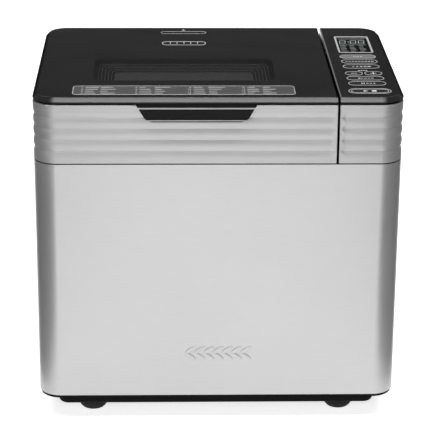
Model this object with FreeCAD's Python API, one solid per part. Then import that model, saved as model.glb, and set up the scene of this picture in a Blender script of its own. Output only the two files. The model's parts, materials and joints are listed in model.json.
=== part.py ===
import FreeCAD, Part
import math
import os

from FreeCAD import Vector

# A countertop bread machine in millimetres. The origin is under the middle of its footprint, on the surface
# that it stands on. +Z is up, the front with the lid's grip faces -Y, and the controls are on the +X side.

# ---- overall sizes
WIDTH = 350.0
DEPTH = 264.0
HEIGHT = 332.2
CORNER_R = 22.0            # plan radius of the casing's upright corners
SEAM_Z = 267.5             # where the ribbed band meets the plain casing
SEAM_GAP = 0.8
CASING_Z0 = 27.6           # lower edge of the steel wrap
CONTROL_W = 61.4           # width of the fixed control section
LID_GAP = 2.4              # slot between the lid and the control section

# ---- walls and clearances
SHEET = 1.0                # steel wrap
BAND_T = 2.6               # ribbed band
WALL = 2.5                 # moulded plastic walls
LINER_T = 1.0              # chamber and lid liner sheet
FIT = 0.1                  # between pieces that are fixed together with play
RUN = 0.05                 # radial clearance of a turning shaft
MOVE_GAP = 0.3             # between faces that pass each other

# ---- top covers
COVER_T = 4.7
CHAMFER = 3.7
EDGE_ROUND = 0.8
GAP_CHAMFER = 1.0
SHADOW_GAP = 2.2           # dark line between cover and band

# ---- ribs pressed into the band
GROOVES = 4
RIB_MARGIN = 12.2          # first and last groove, from the band's edges
RIB_DEPTH = 1.2
RIB_SKIN = 0.05            # the crests lie this far under the flat margins
RUNOUT_R = 11.0            # radius on which a groove fades out at its end
RIB_END = 6.4              # flat strip beside the lid gap and before the rear corners

# ---- base and feet
SKIRT_INSET = 18.0
SKIRT_R = 10.0
SKIRT_Z0 = 9.4
SKIRT_ROUND = 4.0
FLANGE_T = 3.0
FLANGE_INSET = 1.2
LOCATING_RIM = 9.0         # height of the rim that the wrap fits over
FOOT_R = 15.0
FOOT_X = 123.0
FOOT_Y = 95.0
FOOT_SOLE = 4.0            # how far the sole lies inside the foot's edge
FOOT_COLLAR = 3.0          # straight part of the foot under the skirt
FOOT_CURVE = 0.4           # moves the curve's centre off the corner, to flatten it
FOOT_PEG_R = 3.0
FOOT_PEG = 7.0

# ---- grip on the lid's front
GRIP_X = -21.0
GRIP_TOP_W = 113.0
GRIP_FLAT_W = 78.0
GRIP_H = 13.2
GRIP_R = 13.0
GRIP_REACH = 10.0
GRIP_LIP = 3.2             # height of the lip's front edge
GRIP_SKIN = 2.4
GRIP_RIDGE_OUT = 2.2       # ridge at the root of the slope, in front of the band
GRIP_RIDGE_DROP = 3.0      # and below the band's top edge
GRIP_RIDGE_H = 1.2
GRIP_ROUND = 0.9

# ---- window in the lid
WINDOW_W = 176.0
WINDOW_D = 78.0
WINDOW_Y = -33.0
WINDOW_R = 10.0
GLASS_T = 3.2
LEDGE = 4.5                # support under the glass all round
STEPS = 6
STEP_W = 3.2
STEP_H = 0.7
INNER_GLASS_T = 3.0

# ---- chamber
CHAMBER_W = 230.0
CHAMBER_D = 190.0
CHAMBER_R = 25.0
CHAMBER_FLOOR = 55.0       # top of the chamber's floor
DECK_T = 4.0
COLLAR_H = 4.0
COLLAR_T = 3.0
DOME_CLEAR = 5.0           # lid dome outside the collar
FLANGE_W = 9.0

# ---- heating element
TUBE_R = 3.3
ELEMENT_Z = 84.0
ELEMENT_GAP = 11.0         # centre line to the chamber wall
ELEMENT_R = 30.0
ELEMENT_BEND = 10.0
PROBE_R = 3.0
PROBE_X = 60.0             # temperature probe, from the chamber's middle
PROBE_Z = 120.0
TERMINAL_Y = 12.0
TERMINAL_OUT = 16.0

# ---- drive
SHAFT_R = 4.0
BUSH_R = 6.0
BUSH_L = 7.0
CHASSIS_Z = 34.0
CHASSIS_T = 1.5
PULLEY_R = 44.0
MOTOR_PULLEY_R = 9.0
PULLEY_Z = 19.0
PULLEY_H = 12.0
PULLEY_RIM = 1.5           # height of each guide flange
PULLEY_LIP = 3.0           # how far the guide flanges stand out
BELT_T = 1.8
MOTOR_W = 62.0
MOTOR_D = 76.0
STACK_H = 34.0
ENDCAP_H = 12.0
ENDCAP_R = 27.0
ENDCAP_T = 3.0
ROTOR_R = 20.0
SHIELD_T = 0.8
SHIELD_GAP = 13.0          # chamber wall to heat shield

# ---- bread pan
PAN_W = CHAMBER_W - 46.0
PAN_D = CHAMBER_D - 62.0
PAN_TAPER = 6.0            # how much narrower each side is at the floor
PAN_R = 20.0
PAN_H = 140.0
PAN_FLOOR = 70.0           # underside of the pan's floor
PAN_T = 2.0
RIM_W = 5.0
RIM_T = 3.0
FOOT_RING_R = 38.0
FOOT_CAVITY_R = 28.0
BOSS_R = 9.0               # bearing boss that stands up through the pan's floor
LUG_T = 8.0
LUG_W = 20.0
LUG_H = 18.0
PIVOT_DROP = 14.0          # bail pivot below the rim
BAIL_R = 2.0
BAIL_L = 80.0
BAIL_BEND = 16.0
PADDLE_R = 50.0
PADDLE_H = 26.0
BLADE_T = 4.5
DOG_X = 12.0               # driving dogs, from the shaft
DOG_Y = 8.5
DOG_H = 6.0
COUPLING_GAP = 1.5         # chamber floor to the coupling disc
COUPLING_T = 3.5

# ---- control panel
PANEL_SHIFT = -1.1         # key centre line from the middle of the control section
DISPLAY_Y = 60.5
DISPLAY_W = 35.4
DISPLAY_D = 64.4
DISPLAY_R = 3.0
BEZEL_W = 1.7
LENS_T = 1.6
KEY_W = 36.6
KEY_D = 13.6
HALF_KEY_W = 17.6
START_W = 41.0
START_D = 16.6
KEY_FLANGE = 1.2
KEY_TRAVEL = 0.8
BOARD_T = 1.6
BOARD_DROP = 13.0          # from the cover's underside to the board's top
SWITCH_H = 3.6

# ---- hinge at the rear
REAR_REACH = 10.0          # how far the hinge and gland stand out behind
KNUCKLE_R = 4.5
HINGE_PIN_R = 2.0
HINGE_INSET = 48.0         # hinge centre from either side of the lid
KNUCKLE_L = 11.2
LEAF_T = 1.5
LEAF_H = 20.0
GLAND_R = 9.0
GLAND_BORE_R = 3.75
GLAND_Z = 52.0
REAR_PANEL_SIDE = 28.0     # steel return beside the rear panel
VENT_PITCH = 7.5

# ---- derived places
X0, X1 = -WIDTH / 2, WIDTH / 2
Y0, Y1 = -DEPTH / 2, DEPTH / 2
CONTROL_X0 = X1 - CONTROL_W
LID_X1 = CONTROL_X0 - LID_GAP
PANEL_X = (CONTROL_X0 + X1) / 2 + PANEL_SHIFT
LID_CX = (X0 + LID_X1) / 2
CASING_Z1 = SEAM_Z - SEAM_GAP / 2
BAND_Z0 = SEAM_Z + SEAM_GAP / 2
COVER_Z0 = HEIGHT - COVER_T
BAND_Z1 = COVER_Z0 - SHADOW_GAP
RIB_PITCH = (BAND_Z1 - BAND_Z0 - 2 * RIB_MARGIN) / (GROOVES - 1)
DECK_Z0 = CASING_Z1 - DECK_T
PLATE_Z0 = COVER_Z0 - WALL                     # underside of the lid frame's top plate
STEP_FRAME_Z0 = COVER_Z0 - STEPS * STEP_H
STEP_FRAME_W = WINDOW_W + 10.0
STEP_FRAME_D = WINDOW_D + 10.0
INNER_GLASS_Z0 = STEP_FRAME_Z0 - INNER_GLASS_T
DOME_Z1 = INNER_GLASS_Z0                       # top of the liner's dome
LINER_Z0 = CASING_Z1 + 2.5                     # underside of the liner's flange
DOME_W = CHAMBER_W + 2 * (COLLAR_T + DOME_CLEAR)
DOME_D = CHAMBER_D + 2 * (COLLAR_T + DOME_CLEAR)
SIGHT_W = WINDOW_W - 2 * LEDGE - 2 * STEPS * STEP_W
SIGHT_D = WINDOW_D - 2 * LEDGE - 2 * STEPS * STEP_W
SHIELD_X = LID_CX + CHAMBER_W / 2 + LINER_T + SHIELD_GAP
MOTOR_X = (SHIELD_X + SHIELD_T + X1 - SHEET) / 2
BLOCK_Z0 = CHASSIS_Z + CHASSIS_T
BLOCK_Z1 = CHAMBER_FLOOR - LINER_T
RIM_Z1 = PAN_FLOOR + PAN_H
PIVOT_Z = RIM_Z1 - PIVOT_DROP
HINGE_Y = Y1 + REAR_REACH / 2
HINGE_XS = (X0 + HINGE_INSET, LID_X1 - HINGE_INSET)
BOARD_Z1 = COVER_Z0 - BOARD_DROP
REAR_PANEL_X = X1 - REAR_PANEL_SIDE
POST_X = (LID_CX - 62.0, X1 - 30.0)
POST_Y = 78.0
ROW = KEY_D + 4.4          # pitch of the key rows
KEY_ROWS = {"menu": 14.2, "crust": 14.2 - ROW - 0.4, "loaf_size": 14.2 - 2 * ROW - 0.7, "time": -46.9,
            "delay": -64.2, "pause": -82.0, "start_stop": -107.7}


# ---------------------------------------------------------------- helpers

def box(x0, x1, y0, y1, z0, z1):
    return Part.makeBox(x1 - x0, y1 - y0, z1 - z0, Vector(x0, y0, z0))


def rod(r, z0, z1, x=0.0, y=0.0):
    return Part.makeCylinder(r, z1 - z0, Vector(x, y, z0))


def rod_x(r, x0, x1, y, z):
    return Part.makeCylinder(r, x1 - x0, Vector(x0, y, z), Vector(1, 0, 0))


def rod_y(r, y0, y1, x, z):
    return Part.makeCylinder(r, y1 - y0, Vector(x, y0, z), Vector(0, 1, 0))


def join(first, *others):
    """One solid from pieces that touch or overlap."""
    return first.fuse(list(others)).removeSplitter() if others else first


def arc(a, centre, b):
    """The shorter arc from a to b about centre, in any plane."""
    middle = (a - centre) + (b - centre)
    through = centre + middle.normalize() * (a - centre).Length
    return Part.Arc(a, through, b).toShape()


def line(a, b):
    return Part.LineSegment(a, b).toShape()


def rounded_wire(w, d, r, z, x=0.0, y=0.0):
    """Rounded rectangle of width w and depth d about (x, y)."""
    r = min(r, w / 2 - 0.01, d / 2 - 0.01)
    a, b = w / 2, d / 2
    edges = []
    corners = [(a, b), (-a, b), (-a, -b), (a, -b)]
    for i, (cx, cy) in enumerate(corners):
        nx, ny = corners[(i + 1) % 4]
        sx, sy = math.copysign(1, cx), math.copysign(1, cy)
        centre = Vector(x + cx - sx * r, y + cy - sy * r, z)
        side = Vector(sx * r, 0, 0)
        end = Vector(0, sy * r, 0)
        first, last = (side, end) if i % 2 == 0 else (end, side)
        edges.append(arc(centre + first, centre, centre + last))
        tx, ty = math.copysign(1, nx), math.copysign(1, ny)
        after = Vector(x + nx - tx * r, y + ny - ty * r, z)
        start = end if i % 2 == 0 else side
        edges.append(line(centre + last, after + start))
    return Part.Wire(edges)


def slab(w, d, r, z0, z1, x=0.0, y=0.0):
    """Rounded rectangle extruded from z0 to z1."""
    return Part.Face(rounded_wire(w, d, r, z0, x, y)).extrude(Vector(0, 0, z1 - z0))


def ring(w, d, r, t, z0, z1, x=0.0, y=0.0):
    """Upright wall of thickness t, inside a rounded rectangle."""
    hollow = slab(w - 2 * t, d - 2 * t, max(r - t, 1.0), z0 - 1, z1 + 1, x, y)
    return slab(w, d, r, z0, z1, x, y).cut(hollow)


def outline(inset, z0, z1):
    """Prism of the casing's plan shape, drawn in by inset."""
    return slab(WIDTH - 2 * inset, DEPTH - 2 * inset, max(CORNER_R - inset, 1.0), z0, z1)


def outline_wall(inset, t, z0, z1):
    return outline(inset, z0, z1).cut(outline(inset + t, z0 - 1, z1 + 1))


def lid_side(shape):
    """The part of a shape that lies on the lid's side of the gap."""
    return shape.common(box(X0 - 1, LID_X1, Y0 - 50, Y1 + 50, -1, HEIGHT + 50))


def control_side(shape):
    return shape.common(box(CONTROL_X0, X1 + 1, Y0 - 50, Y1 + 50, -1, HEIGHT + 50))


def turned(points):
    """Solid of revolution about Z from (radius, height) points."""
    corners = [Vector(r, 0, z) for r, z in points + points[:1]]
    face = Part.Face(Part.makePolygon(corners))
    return face.revolve(Vector(0, 0, 0), Vector(0, 0, 1), 360)


def moved(shape, x=0.0, y=0.0, z=0.0):
    return shape.translated(Vector(x, y, z))


def pill(w, d, z0, z1, x, y):
    return slab(w, d, d / 2, z0, z1, x, y)


def edges_at(shape, test):
    return [e for e in shape.Edges if all(test(v.Point) for v in e.Vertexes) and test(e.CenterOfMass)]


def near(a, b):
    return abs(a - b) < 1e-4


def sweep(path, r):
    """Round rod along a path of tangent lines and arcs."""
    start = path.OrderedVertexes[0].Point
    along = path.OrderedEdges[0].tangentAt(path.OrderedEdges[0].FirstParameter)
    profile = Part.Wire(Part.makeCircle(r, start, along))
    return path.makePipeShell([profile], True, False)


# ---------------------------------------------------------------- casing and base

def casing_wrap():
    wall = outline_wall(0, SHEET, CASING_Z0, CASING_Z1)
    opening = box(-REAR_PANEL_X, REAR_PANEL_X, Y1 - CORNER_R, Y1 + 1, CASING_Z0 - 1, CASING_Z1 + 1)
    return wall.cut(opening)


def base_tray():
    skirt_w, skirt_d = WIDTH - 2 * SKIRT_INSET, DEPTH - 2 * SKIRT_INSET
    skirt = slab(skirt_w, skirt_d, SKIRT_R, SKIRT_Z0, CASING_Z0)
    skirt = skirt.makeFillet(SKIRT_ROUND, edges_at(skirt, lambda p: near(p.z, SKIRT_Z0)))
    flange = outline(FLANGE_INSET, CASING_Z0 - FLANGE_T, CASING_Z0)
    rim = outline_wall(SHEET + FIT, WALL, CASING_Z0 - FLANGE_T, CASING_Z0 + LOCATING_RIM)
    hollow = slab(skirt_w - 2 * WALL, skirt_d - 2 * WALL, SKIRT_R - WALL, SKIRT_Z0 + WALL, CASING_Z0 + 1)
    rear_notch = box(-REAR_PANEL_X, REAR_PANEL_X, Y1 - WALL - FIT, Y1 + 1,
                     CASING_Z0, CASING_Z0 + LOCATING_RIM + 1)
    tray = join(skirt, flange, rim).cut(hollow).cut(rear_notch)
    posts = [rod(6.0, SKIRT_Z0 + WALL - 0.5, CHASSIS_Z, x, y) for x in POST_X for y in (-POST_Y, POST_Y)]
    tray = join(tray, *posts)
    cuts = [rod(1.6, CHASSIS_Z - 12, CHASSIS_Z + 1, x, y) for x in POST_X for y in (-POST_Y, POST_Y)]
    cuts += [rod(FOOT_PEG_R, SKIRT_Z0 - 1, SKIRT_Z0 + WALL + 1, x, y) for x, y in foot_places()]
    for n in range(9):
        cuts.append(slab(46.0, 3.0, 1.5, SKIRT_Z0 - 1, SKIRT_Z0 + WALL + 1, MOTOR_X - 62, (n - 4) * 9.0))
    return tray.cut(cuts)


def foot_places():
    return [(x, y) for x in (-FOOT_X, FOOT_X) for y in (-FOOT_Y, FOOT_Y)]


def rubber_feet():
    """Four turned feet, each with a curved edge and a peg that fits the tray."""
    collar_z, peg_r, peg_z = SKIRT_Z0 - FOOT_COLLAR, FOOT_PEG_R - RUN, SKIRT_Z0 + FOOT_PEG
    points = [(0, 0), (FOOT_R - FOOT_SOLE, 0), (FOOT_R, collar_z), (FOOT_R, SKIRT_Z0), (peg_r, SKIRT_Z0),
              (peg_r, peg_z), (0, peg_z)]
    profile = [Vector(r, 0, z) for r, z in points]
    centre = Vector(FOOT_R - SKIRT_Z0 + FOOT_CURVE, 0, collar_z + FOOT_CURVE)
    edges = [line(profile[0], profile[1]), arc(profile[1], centre, profile[2])]
    edges += [line(a, b) for a, b in zip(profile[2:], profile[3:])]
    edges.append(line(profile[-1], profile[0]))
    foot = Part.Face(Part.Wire(edges)).revolve(Vector(0, 0, 0), Vector(0, 0, 1), 360)
    return Part.makeCompound([moved(foot, x, y) for x, y in foot_places()])


def vent_slots(x, z, w, rows, pitch):
    """Slots through the rear panel, stacked from z upwards."""
    out = []
    for n in range(rows):
        slot = slab(w, 3.0, 1.5, 0, WALL + 2)
        slot.rotate(Vector(0, 0, 0), Vector(1, 0, 0), 90)
        out.append(moved(slot, x, Y1 + 1, z + n * pitch))
    return out


def rear_panel():
    panel = box(-REAR_PANEL_X + FIT, REAR_PANEL_X - FIT, Y1 - WALL, Y1, CASING_Z0, DECK_Z0)
    chamber_vents = vent_slots(LID_CX, 70.0, 150.0, 7, VENT_PITCH)
    board_vents = vent_slots(MOTOR_X - 18, 120.0, 44.0, 12, VENT_PITCH)
    panel = panel.cut(chamber_vents + board_vents)
    panel = panel.cut(rod_y(GLAND_R - 3.0, Y1 - WALL - 1, Y1 + 1, MOTOR_X - 6, GLAND_Z))
    return panel.cut([rod_y(1.7, Y1 - WALL - 1, Y1 + 1, x, z) for x, z in rear_screw_places()])


def rear_screw_places():
    xs = (-REAR_PANEL_X + 8, 0.0, REAR_PANEL_X - 8)
    below_hinge = SEAM_Z - KNUCKLE_R - LEAF_H - 12
    low = CASING_Z0 + LOCATING_RIM + 6
    return [(x, below_hinge) for x in xs] + [(x, low) for x in xs if not near(x, 0)]


def cord_gland():
    x = MOTOR_X - 6
    neck = rod_y(GLAND_R - 3.0 - RUN, Y1 - WALL, Y1, x, GLAND_Z)
    inner = rod_y(GLAND_R - 1.0, Y1 - WALL - 3.0, Y1 - WALL, x, GLAND_Z)
    outer = Part.makeCone(GLAND_R, GLAND_R - 3.0, REAR_REACH, Vector(x, Y1, GLAND_Z), Vector(0, 1, 0))
    return join(outer, neck, inner).cut(rod_y(GLAND_BORE_R, Y1 - WALL - 4, Y1 + REAR_REACH + 1, x, GLAND_Z))


def screw(length, head_r=3.0, head_h=1.8, r=1.5):
    """Pan-head screw along +Z with its head's underside at z = 0 and its shank below."""
    head = rod(head_r, 0, head_h)
    head = head.makeFillet(head_h * 0.45, edges_at(head, lambda p: near(p.z, head_h)))
    shank = rod(r, -length, 0)
    cross = [box(-head_r * 0.6, head_r * 0.6, -0.35, 0.35, head_h * 0.45, head_h + 1),
             box(-0.35, 0.35, -head_r * 0.6, head_r * 0.6, head_h * 0.45, head_h + 1)]
    return join(head, shank).cut(cross)


def casing_screws():
    out = []
    for x, z in rear_screw_places():
        s = screw(WALL + 2.0)
        s.rotate(Vector(0, 0, 0), Vector(1, 0, 0), -90)
        out.append(moved(s, x, Y1, z))
    for x in POST_X:
        out += [moved(screw(10.0), x, y, BLOCK_Z0) for y in (-POST_Y, POST_Y)]
    return Part.makeCompound(out)


# ---------------------------------------------------------------- deck and chamber

def top_deck():
    plate = outline(SHEET + FIT, DECK_Z0, CASING_Z1)
    collar = ring(CHAMBER_W + 2 * COLLAR_T, CHAMBER_D + 2 * COLLAR_T, CHAMBER_R + COLLAR_T, COLLAR_T,
                  CASING_Z1 - 1, CASING_Z1 + COLLAR_H, LID_CX)
    mouth = slab(CHAMBER_W, CHAMBER_D, CHAMBER_R, DECK_Z0 - 1, CASING_Z1 + COLLAR_H + 1, LID_CX)
    wiring = slab(CONTROL_W - 26, DEPTH - 90, 6.0, DECK_Z0 - 1, CASING_Z1 + 1, (CONTROL_X0 + X1) / 2)
    return join(plate, collar).cut([mouth, wiring])


def baking_chamber():
    w, d, r = CHAMBER_W + 2 * LINER_T, CHAMBER_D + 2 * LINER_T, CHAMBER_R + LINER_T
    shell = slab(w, d, r, CHAMBER_FLOOR - LINER_T, DECK_Z0, LID_CX)
    shell = shell.cut(slab(CHAMBER_W, CHAMBER_D, CHAMBER_R, CHAMBER_FLOOR, DECK_Z0 + 1, LID_CX))
    flange = ring(w + 2 * FLANGE_W, d + 2 * FLANGE_W, r + FLANGE_W, FLANGE_W + LINER_T,
                  DECK_Z0 - LINER_T, DECK_Z0, LID_CX)
    side = LID_CX + CHAMBER_W / 2
    cuts = [rod(BUSH_R + 2, CHAMBER_FLOOR - 5, CHAMBER_FLOOR + 1, LID_CX)]
    cuts += [rod_x(TUBE_R + 1.0, side - 1, side + 5, y, ELEMENT_Z) for y in (-TERMINAL_Y, TERMINAL_Y)]
    cuts.append(rod_y(PROBE_R + FIT, CHAMBER_D / 2 - 1, CHAMBER_D / 2 + 3, LID_CX + PROBE_X, PROBE_Z))
    return join(shell, flange).cut(cuts)


def element_path():
    """Open loop round the pan with both ends leaving through the chamber's side."""
    a, b = CHAMBER_W / 2 - ELEMENT_GAP, CHAMBER_D / 2 - ELEMENT_GAP
    r, bend, t = ELEMENT_R, ELEMENT_BEND, TERMINAL_Y
    out = CHAMBER_W / 2 + LINER_T + TERMINAL_OUT

    def at(x, y):
        return Vector(LID_CX + x, y, ELEMENT_Z)

    half = [(out, t), (a + bend, t), (a, t + bend), (a, b - r), (a - r, b), (-(a - r), b), (-a, b - r)]
    centres = {1: (a + bend, t + bend), 3: (a - r, b - r), 5: (-(a - r), b - r)}
    edges = []
    for i in range(len(half) - 1):
        p, q = at(*half[i]), at(*half[i + 1])
        edges.append(arc(p, at(*centres[i]), q) if i in centres else line(p, q))
    mirrored = [e.mirror(Vector(0, 0, 0), Vector(0, 1, 0)) for e in edges]
    link = line(at(*half[-1]), at(half[-1][0], -half[-1][1]))
    return Part.Wire(Part.__sortEdges__(edges + [link] + mirrored))


def heating_element():
    return sweep(element_path(), TUBE_R)


def element_clips():
    """Sheet saddles that hold the element off the chamber's walls."""
    a, b = CHAMBER_W / 2 - ELEMENT_GAP, CHAMBER_D / 2 - ELEMENT_GAP
    eye_r = TUBE_R + 1.5
    out = []
    for side in (-1, 1):
        eye = rod_x(eye_r, LID_CX - 4, LID_CX + 4, side * b, ELEMENT_Z)
        lo, hi = sorted((side * b, side * (CHAMBER_D / 2)))
        strap = box(LID_CX - 4, LID_CX + 4, lo, hi, ELEMENT_Z - 0.75, ELEMENT_Z + 0.75)
        lo, hi = sorted((side * (CHAMBER_D / 2 - 1.0), side * CHAMBER_D / 2))
        tab = box(LID_CX - 4, LID_CX + 4, lo, hi, ELEMENT_Z - 8, ELEMENT_Z + 8)
        hole = rod_x(TUBE_R + RUN, LID_CX - 5, LID_CX + 5, side * b, ELEMENT_Z)
        out.append(join(eye, strap, tab).cut(hole))
    x = LID_CX - a
    wall = LID_CX - CHAMBER_W / 2
    eye = rod_y(eye_r, -4, 4, x, ELEMENT_Z)
    strap = box(wall, x, -4, 4, ELEMENT_Z - 0.75, ELEMENT_Z + 0.75)
    tab = box(wall, wall + 1.0, -4, 4, ELEMENT_Z - 8, ELEMENT_Z + 8)
    out.append(join(eye, strap, tab).cut(rod_y(TUBE_R + RUN, -5, 5, x, ELEMENT_Z)))
    return Part.makeCompound(out)


def thermistor_probe():
    x, y = LID_CX + PROBE_X, CHAMBER_D / 2
    tip = rod_y(PROBE_R, y - 9, y + 10, x, PROBE_Z)
    nut = rod_y(PROBE_R + 2.5, y + LINER_T, y + 5, x, PROBE_Z)
    collar = rod_y(PROBE_R + 1.5, y - 2.0, y, x, PROBE_Z)
    tip = tip.makeFillet(1.2, edges_at(tip, lambda p: near(p.y, y - 9)))
    return join(tip, nut, collar)


def heat_shield():
    face, reach = SHIELD_X + SHIELD_T, CHAMBER_D / 2 + 10
    leg_y0, leg_y1 = -CHAMBER_D / 2 + 25, -MOTOR_D / 2 - 4
    sheet = box(SHIELD_X, face, -reach, reach, BLOCK_Z0 + 10, DECK_Z0 - 3)
    foot = box(SHIELD_X, SHIELD_X + 10, leg_y0, leg_y1, BLOCK_Z0, BLOCK_Z0 + SHIELD_T)
    leg = box(SHIELD_X, face, leg_y0, leg_y1, BLOCK_Z0, BLOCK_Z0 + 11)
    holes = [rod_x(TUBE_R + 4, SHIELD_X - 1, SHIELD_X + 2, y, ELEMENT_Z) for y in (-TERMINAL_Y, TERMINAL_Y)]
    return join(sheet, foot, leg).cut(holes)


def pan_clips():
    """Two leaf springs that grip the pan's foot ring."""
    out = []
    for side in (-1, 1):
        gap = FOOT_RING_R + MOVE_GAP + 0.2
        base = box(gap, gap + 14, -7, 7, CHAMBER_FLOOR, CHAMBER_FLOOR + 1.2)
        leaf = box(gap, gap + 1.2, -7, 7, CHAMBER_FLOOR, CHAMBER_FLOOR + 13)
        ear = box(gap, gap + 4, -7, 7, CHAMBER_FLOOR + 12, CHAMBER_FLOOR + 13)
        clip = join(base, leaf, ear)
        if side < 0:
            clip.rotate(Vector(0, 0, 0), Vector(0, 0, 1), 180)
        out.append(moved(clip, LID_CX))
    return Part.makeCompound(out)


# ---------------------------------------------------------------- drive

def chassis_plate():
    x0, x1 = POST_X[0] - 14, POST_X[1] + 14
    y = POST_Y + 12
    plate = box(x0, x1, -y, y, CHASSIS_Z, BLOCK_Z0)
    sides = [box(x0, x1, edge, edge + CHASSIS_T, CHASSIS_Z, CHASSIS_Z + 9) for edge in (-y, y - CHASSIS_T)]

    def hole(r, px, py=0.0):
        return rod(r, CHASSIS_Z - 1, BLOCK_Z0 + 1, px, py)

    cuts = [hole(1.7, px, s * POST_Y) for px in POST_X for s in (-1, 1)]
    return join(plate, *sides).cut(cuts + [hole(BUSH_R + 3, LID_CX), hole(SHAFT_R + 4, MOTOR_X)])


def bearing_block():
    foot = slab(76.0, 56.0, 10.0, BLOCK_Z0, BLOCK_Z0 + 4, LID_CX)
    hub = rod(BUSH_R + 7, BLOCK_Z0, BLOCK_Z1, LID_CX)
    head = rod(BUSH_R + 18, BLOCK_Z1 - 3, BLOCK_Z1, LID_CX)
    ribs = [box(LID_CX - 30, LID_CX + 30, -2, 2, BLOCK_Z0, BLOCK_Z1 - 8),
            box(LID_CX - 2, LID_CX + 2, -24, 24, BLOCK_Z0, BLOCK_Z1 - 8)]
    return join(foot, hub, head, *ribs).cut(rod(BUSH_R, BLOCK_Z0 - 1, BLOCK_Z1 + 1, LID_CX))


def drive_bushes():
    def bush(z):
        return rod(BUSH_R, z, z + BUSH_L, LID_CX).cut(rod(SHAFT_R + RUN, z - 1, z + BUSH_L + 1, LID_CX))
    return Part.makeCompound([bush(BLOCK_Z0), bush(BLOCK_Z1 - BUSH_L)])


def pulley(r, hub_r, x):
    """Belt pulley with guide flanges and a bore that fits its shaft."""
    z0, z1 = PULLEY_Z, PULLEY_Z + PULLEY_H
    rim = r + PULLEY_LIP
    profile = [(SHAFT_R, z0), (rim, z0), (rim, z0 + PULLEY_RIM), (r, z0 + PULLEY_RIM), (r, z1 - PULLEY_RIM),
               (rim, z1 - PULLEY_RIM), (rim, z1), (SHAFT_R, z1)]
    wheel = turned(profile)
    if r > 3 * hub_r:
        web_z, hole_at = z0 + PULLEY_H * 0.62, r * 0.52
        pocket = turned([(hub_r, z0 - 1), (r - 6, z0 - 1), (r - 6, web_z), (hub_r, web_z)])
        holes = [rod(7.0, z0 - 1, z1 + 1, hole_at * math.cos(a), hole_at * math.sin(a))
                 for a in (math.pi / 4 + n * math.pi / 2 for n in range(4))]
        wheel = wheel.cut([pocket] + holes)
    return moved(wheel, x)


def drive_pulley():
    return pulley(PULLEY_R, 11.0, LID_CX)


def drive_shaft():
    shaft = rod(SHAFT_R, PULLEY_Z - 2, CHAMBER_FLOOR + 3, LID_CX)
    collar = rod(SHAFT_R + 2.5, PULLEY_Z + PULLEY_H, BLOCK_Z0 - MOVE_GAP, LID_CX)
    return join(shaft, collar)


def drive_coupling():
    """Disc with two dogs that push the wing under the pan."""
    z0 = CHAMBER_FLOOR + COUPLING_GAP
    disc = rod(18.0, z0, z0 + COUPLING_T, LID_CX).cut(rod(SHAFT_R, z0 - 1, CHAMBER_FLOOR + 3, LID_CX))
    dog = box(-4, 4, -3, 3, z0 + COUPLING_T, z0 + COUPLING_T + DOG_H)
    return join(disc, *[moved(dog, LID_CX + s * DOG_X, s * DOG_Y) for s in (-1, 1)])


def motor_frame():
    """Laminated stack between two end brackets, as three solids."""
    z = BLOCK_Z0
    foot = slab(MOTOR_W, MOTOR_D, 8.0, z, z + 3.0, MOTOR_X)
    lower = join(foot, rod(ENDCAP_R, z, z + ENDCAP_H, MOTOR_X))
    lower = lower.cut([rod(ENDCAP_R - ENDCAP_T, z + ENDCAP_T, z + ENDCAP_H + 1, MOTOR_X),
                       rod(SHAFT_R + RUN, z - 1, z + 5, MOTOR_X)])
    stack = slab(MOTOR_W, MOTOR_D, 5.0, z + ENDCAP_H, z + ENDCAP_H + STACK_H, MOTOR_X)
    stack = stack.cut(rod(ROTOR_R + MOVE_GAP, z, z + ENDCAP_H + STACK_H + 1, MOTOR_X))
    top = z + ENDCAP_H + STACK_H
    upper = rod(ENDCAP_R, top, top + ENDCAP_H, MOTOR_X)
    upper = upper.cut([rod(ENDCAP_R - ENDCAP_T, top - 1, top + ENDCAP_H - ENDCAP_T, MOTOR_X),
                       rod(SHAFT_R + RUN, top, top + ENDCAP_H + 1, MOTOR_X)])
    return Part.makeCompound([lower, stack, upper])


def motor_rotor():
    z = BLOCK_Z0 + ENDCAP_H
    shaft = rod(SHAFT_R, PULLEY_Z - 1, z + STACK_H + ENDCAP_H + 4, MOTOR_X)
    core = rod(ROTOR_R, z + 1, z + STACK_H - 1, MOTOR_X)
    return join(shaft, core)


def motor_pulley():
    return pulley(MOTOR_PULLEY_R, SHAFT_R + 2, MOTOR_X)


def belt_loop(extra, z0, z1):
    """Prism inside a belt line that stands extra outside both pulleys."""
    big, small = PULLEY_R + extra, MOTOR_PULLEY_R + extra
    span = MOTOR_X - LID_CX
    lean = math.asin((big - small) / span)
    s, c = math.sin(lean), math.cos(lean)

    def at(x, r, side):
        return Vector(x + r * s, side * r * c, z0)

    a, b = at(LID_CX, big, 1), at(MOTOR_X, small, 1)
    d, e = at(MOTOR_X, small, -1), at(LID_CX, big, -1)
    edges = [line(a, b), Part.Arc(b, Vector(MOTOR_X + small, 0, z0), d).toShape(), line(d, e),
             Part.Arc(e, Vector(LID_CX - big, 0, z0), a).toShape()]
    return Part.Face(Part.Wire(edges)).extrude(Vector(0, 0, z1 - z0))


def drive_belt():
    z0, z1 = PULLEY_Z + PULLEY_RIM + MOVE_GAP, PULLEY_Z + PULLEY_H - PULLEY_RIM - MOVE_GAP
    return belt_loop(MOVE_GAP + BELT_T, z0, z1).cut(belt_loop(MOVE_GAP, z0 - 1, z1 + 1))


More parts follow.
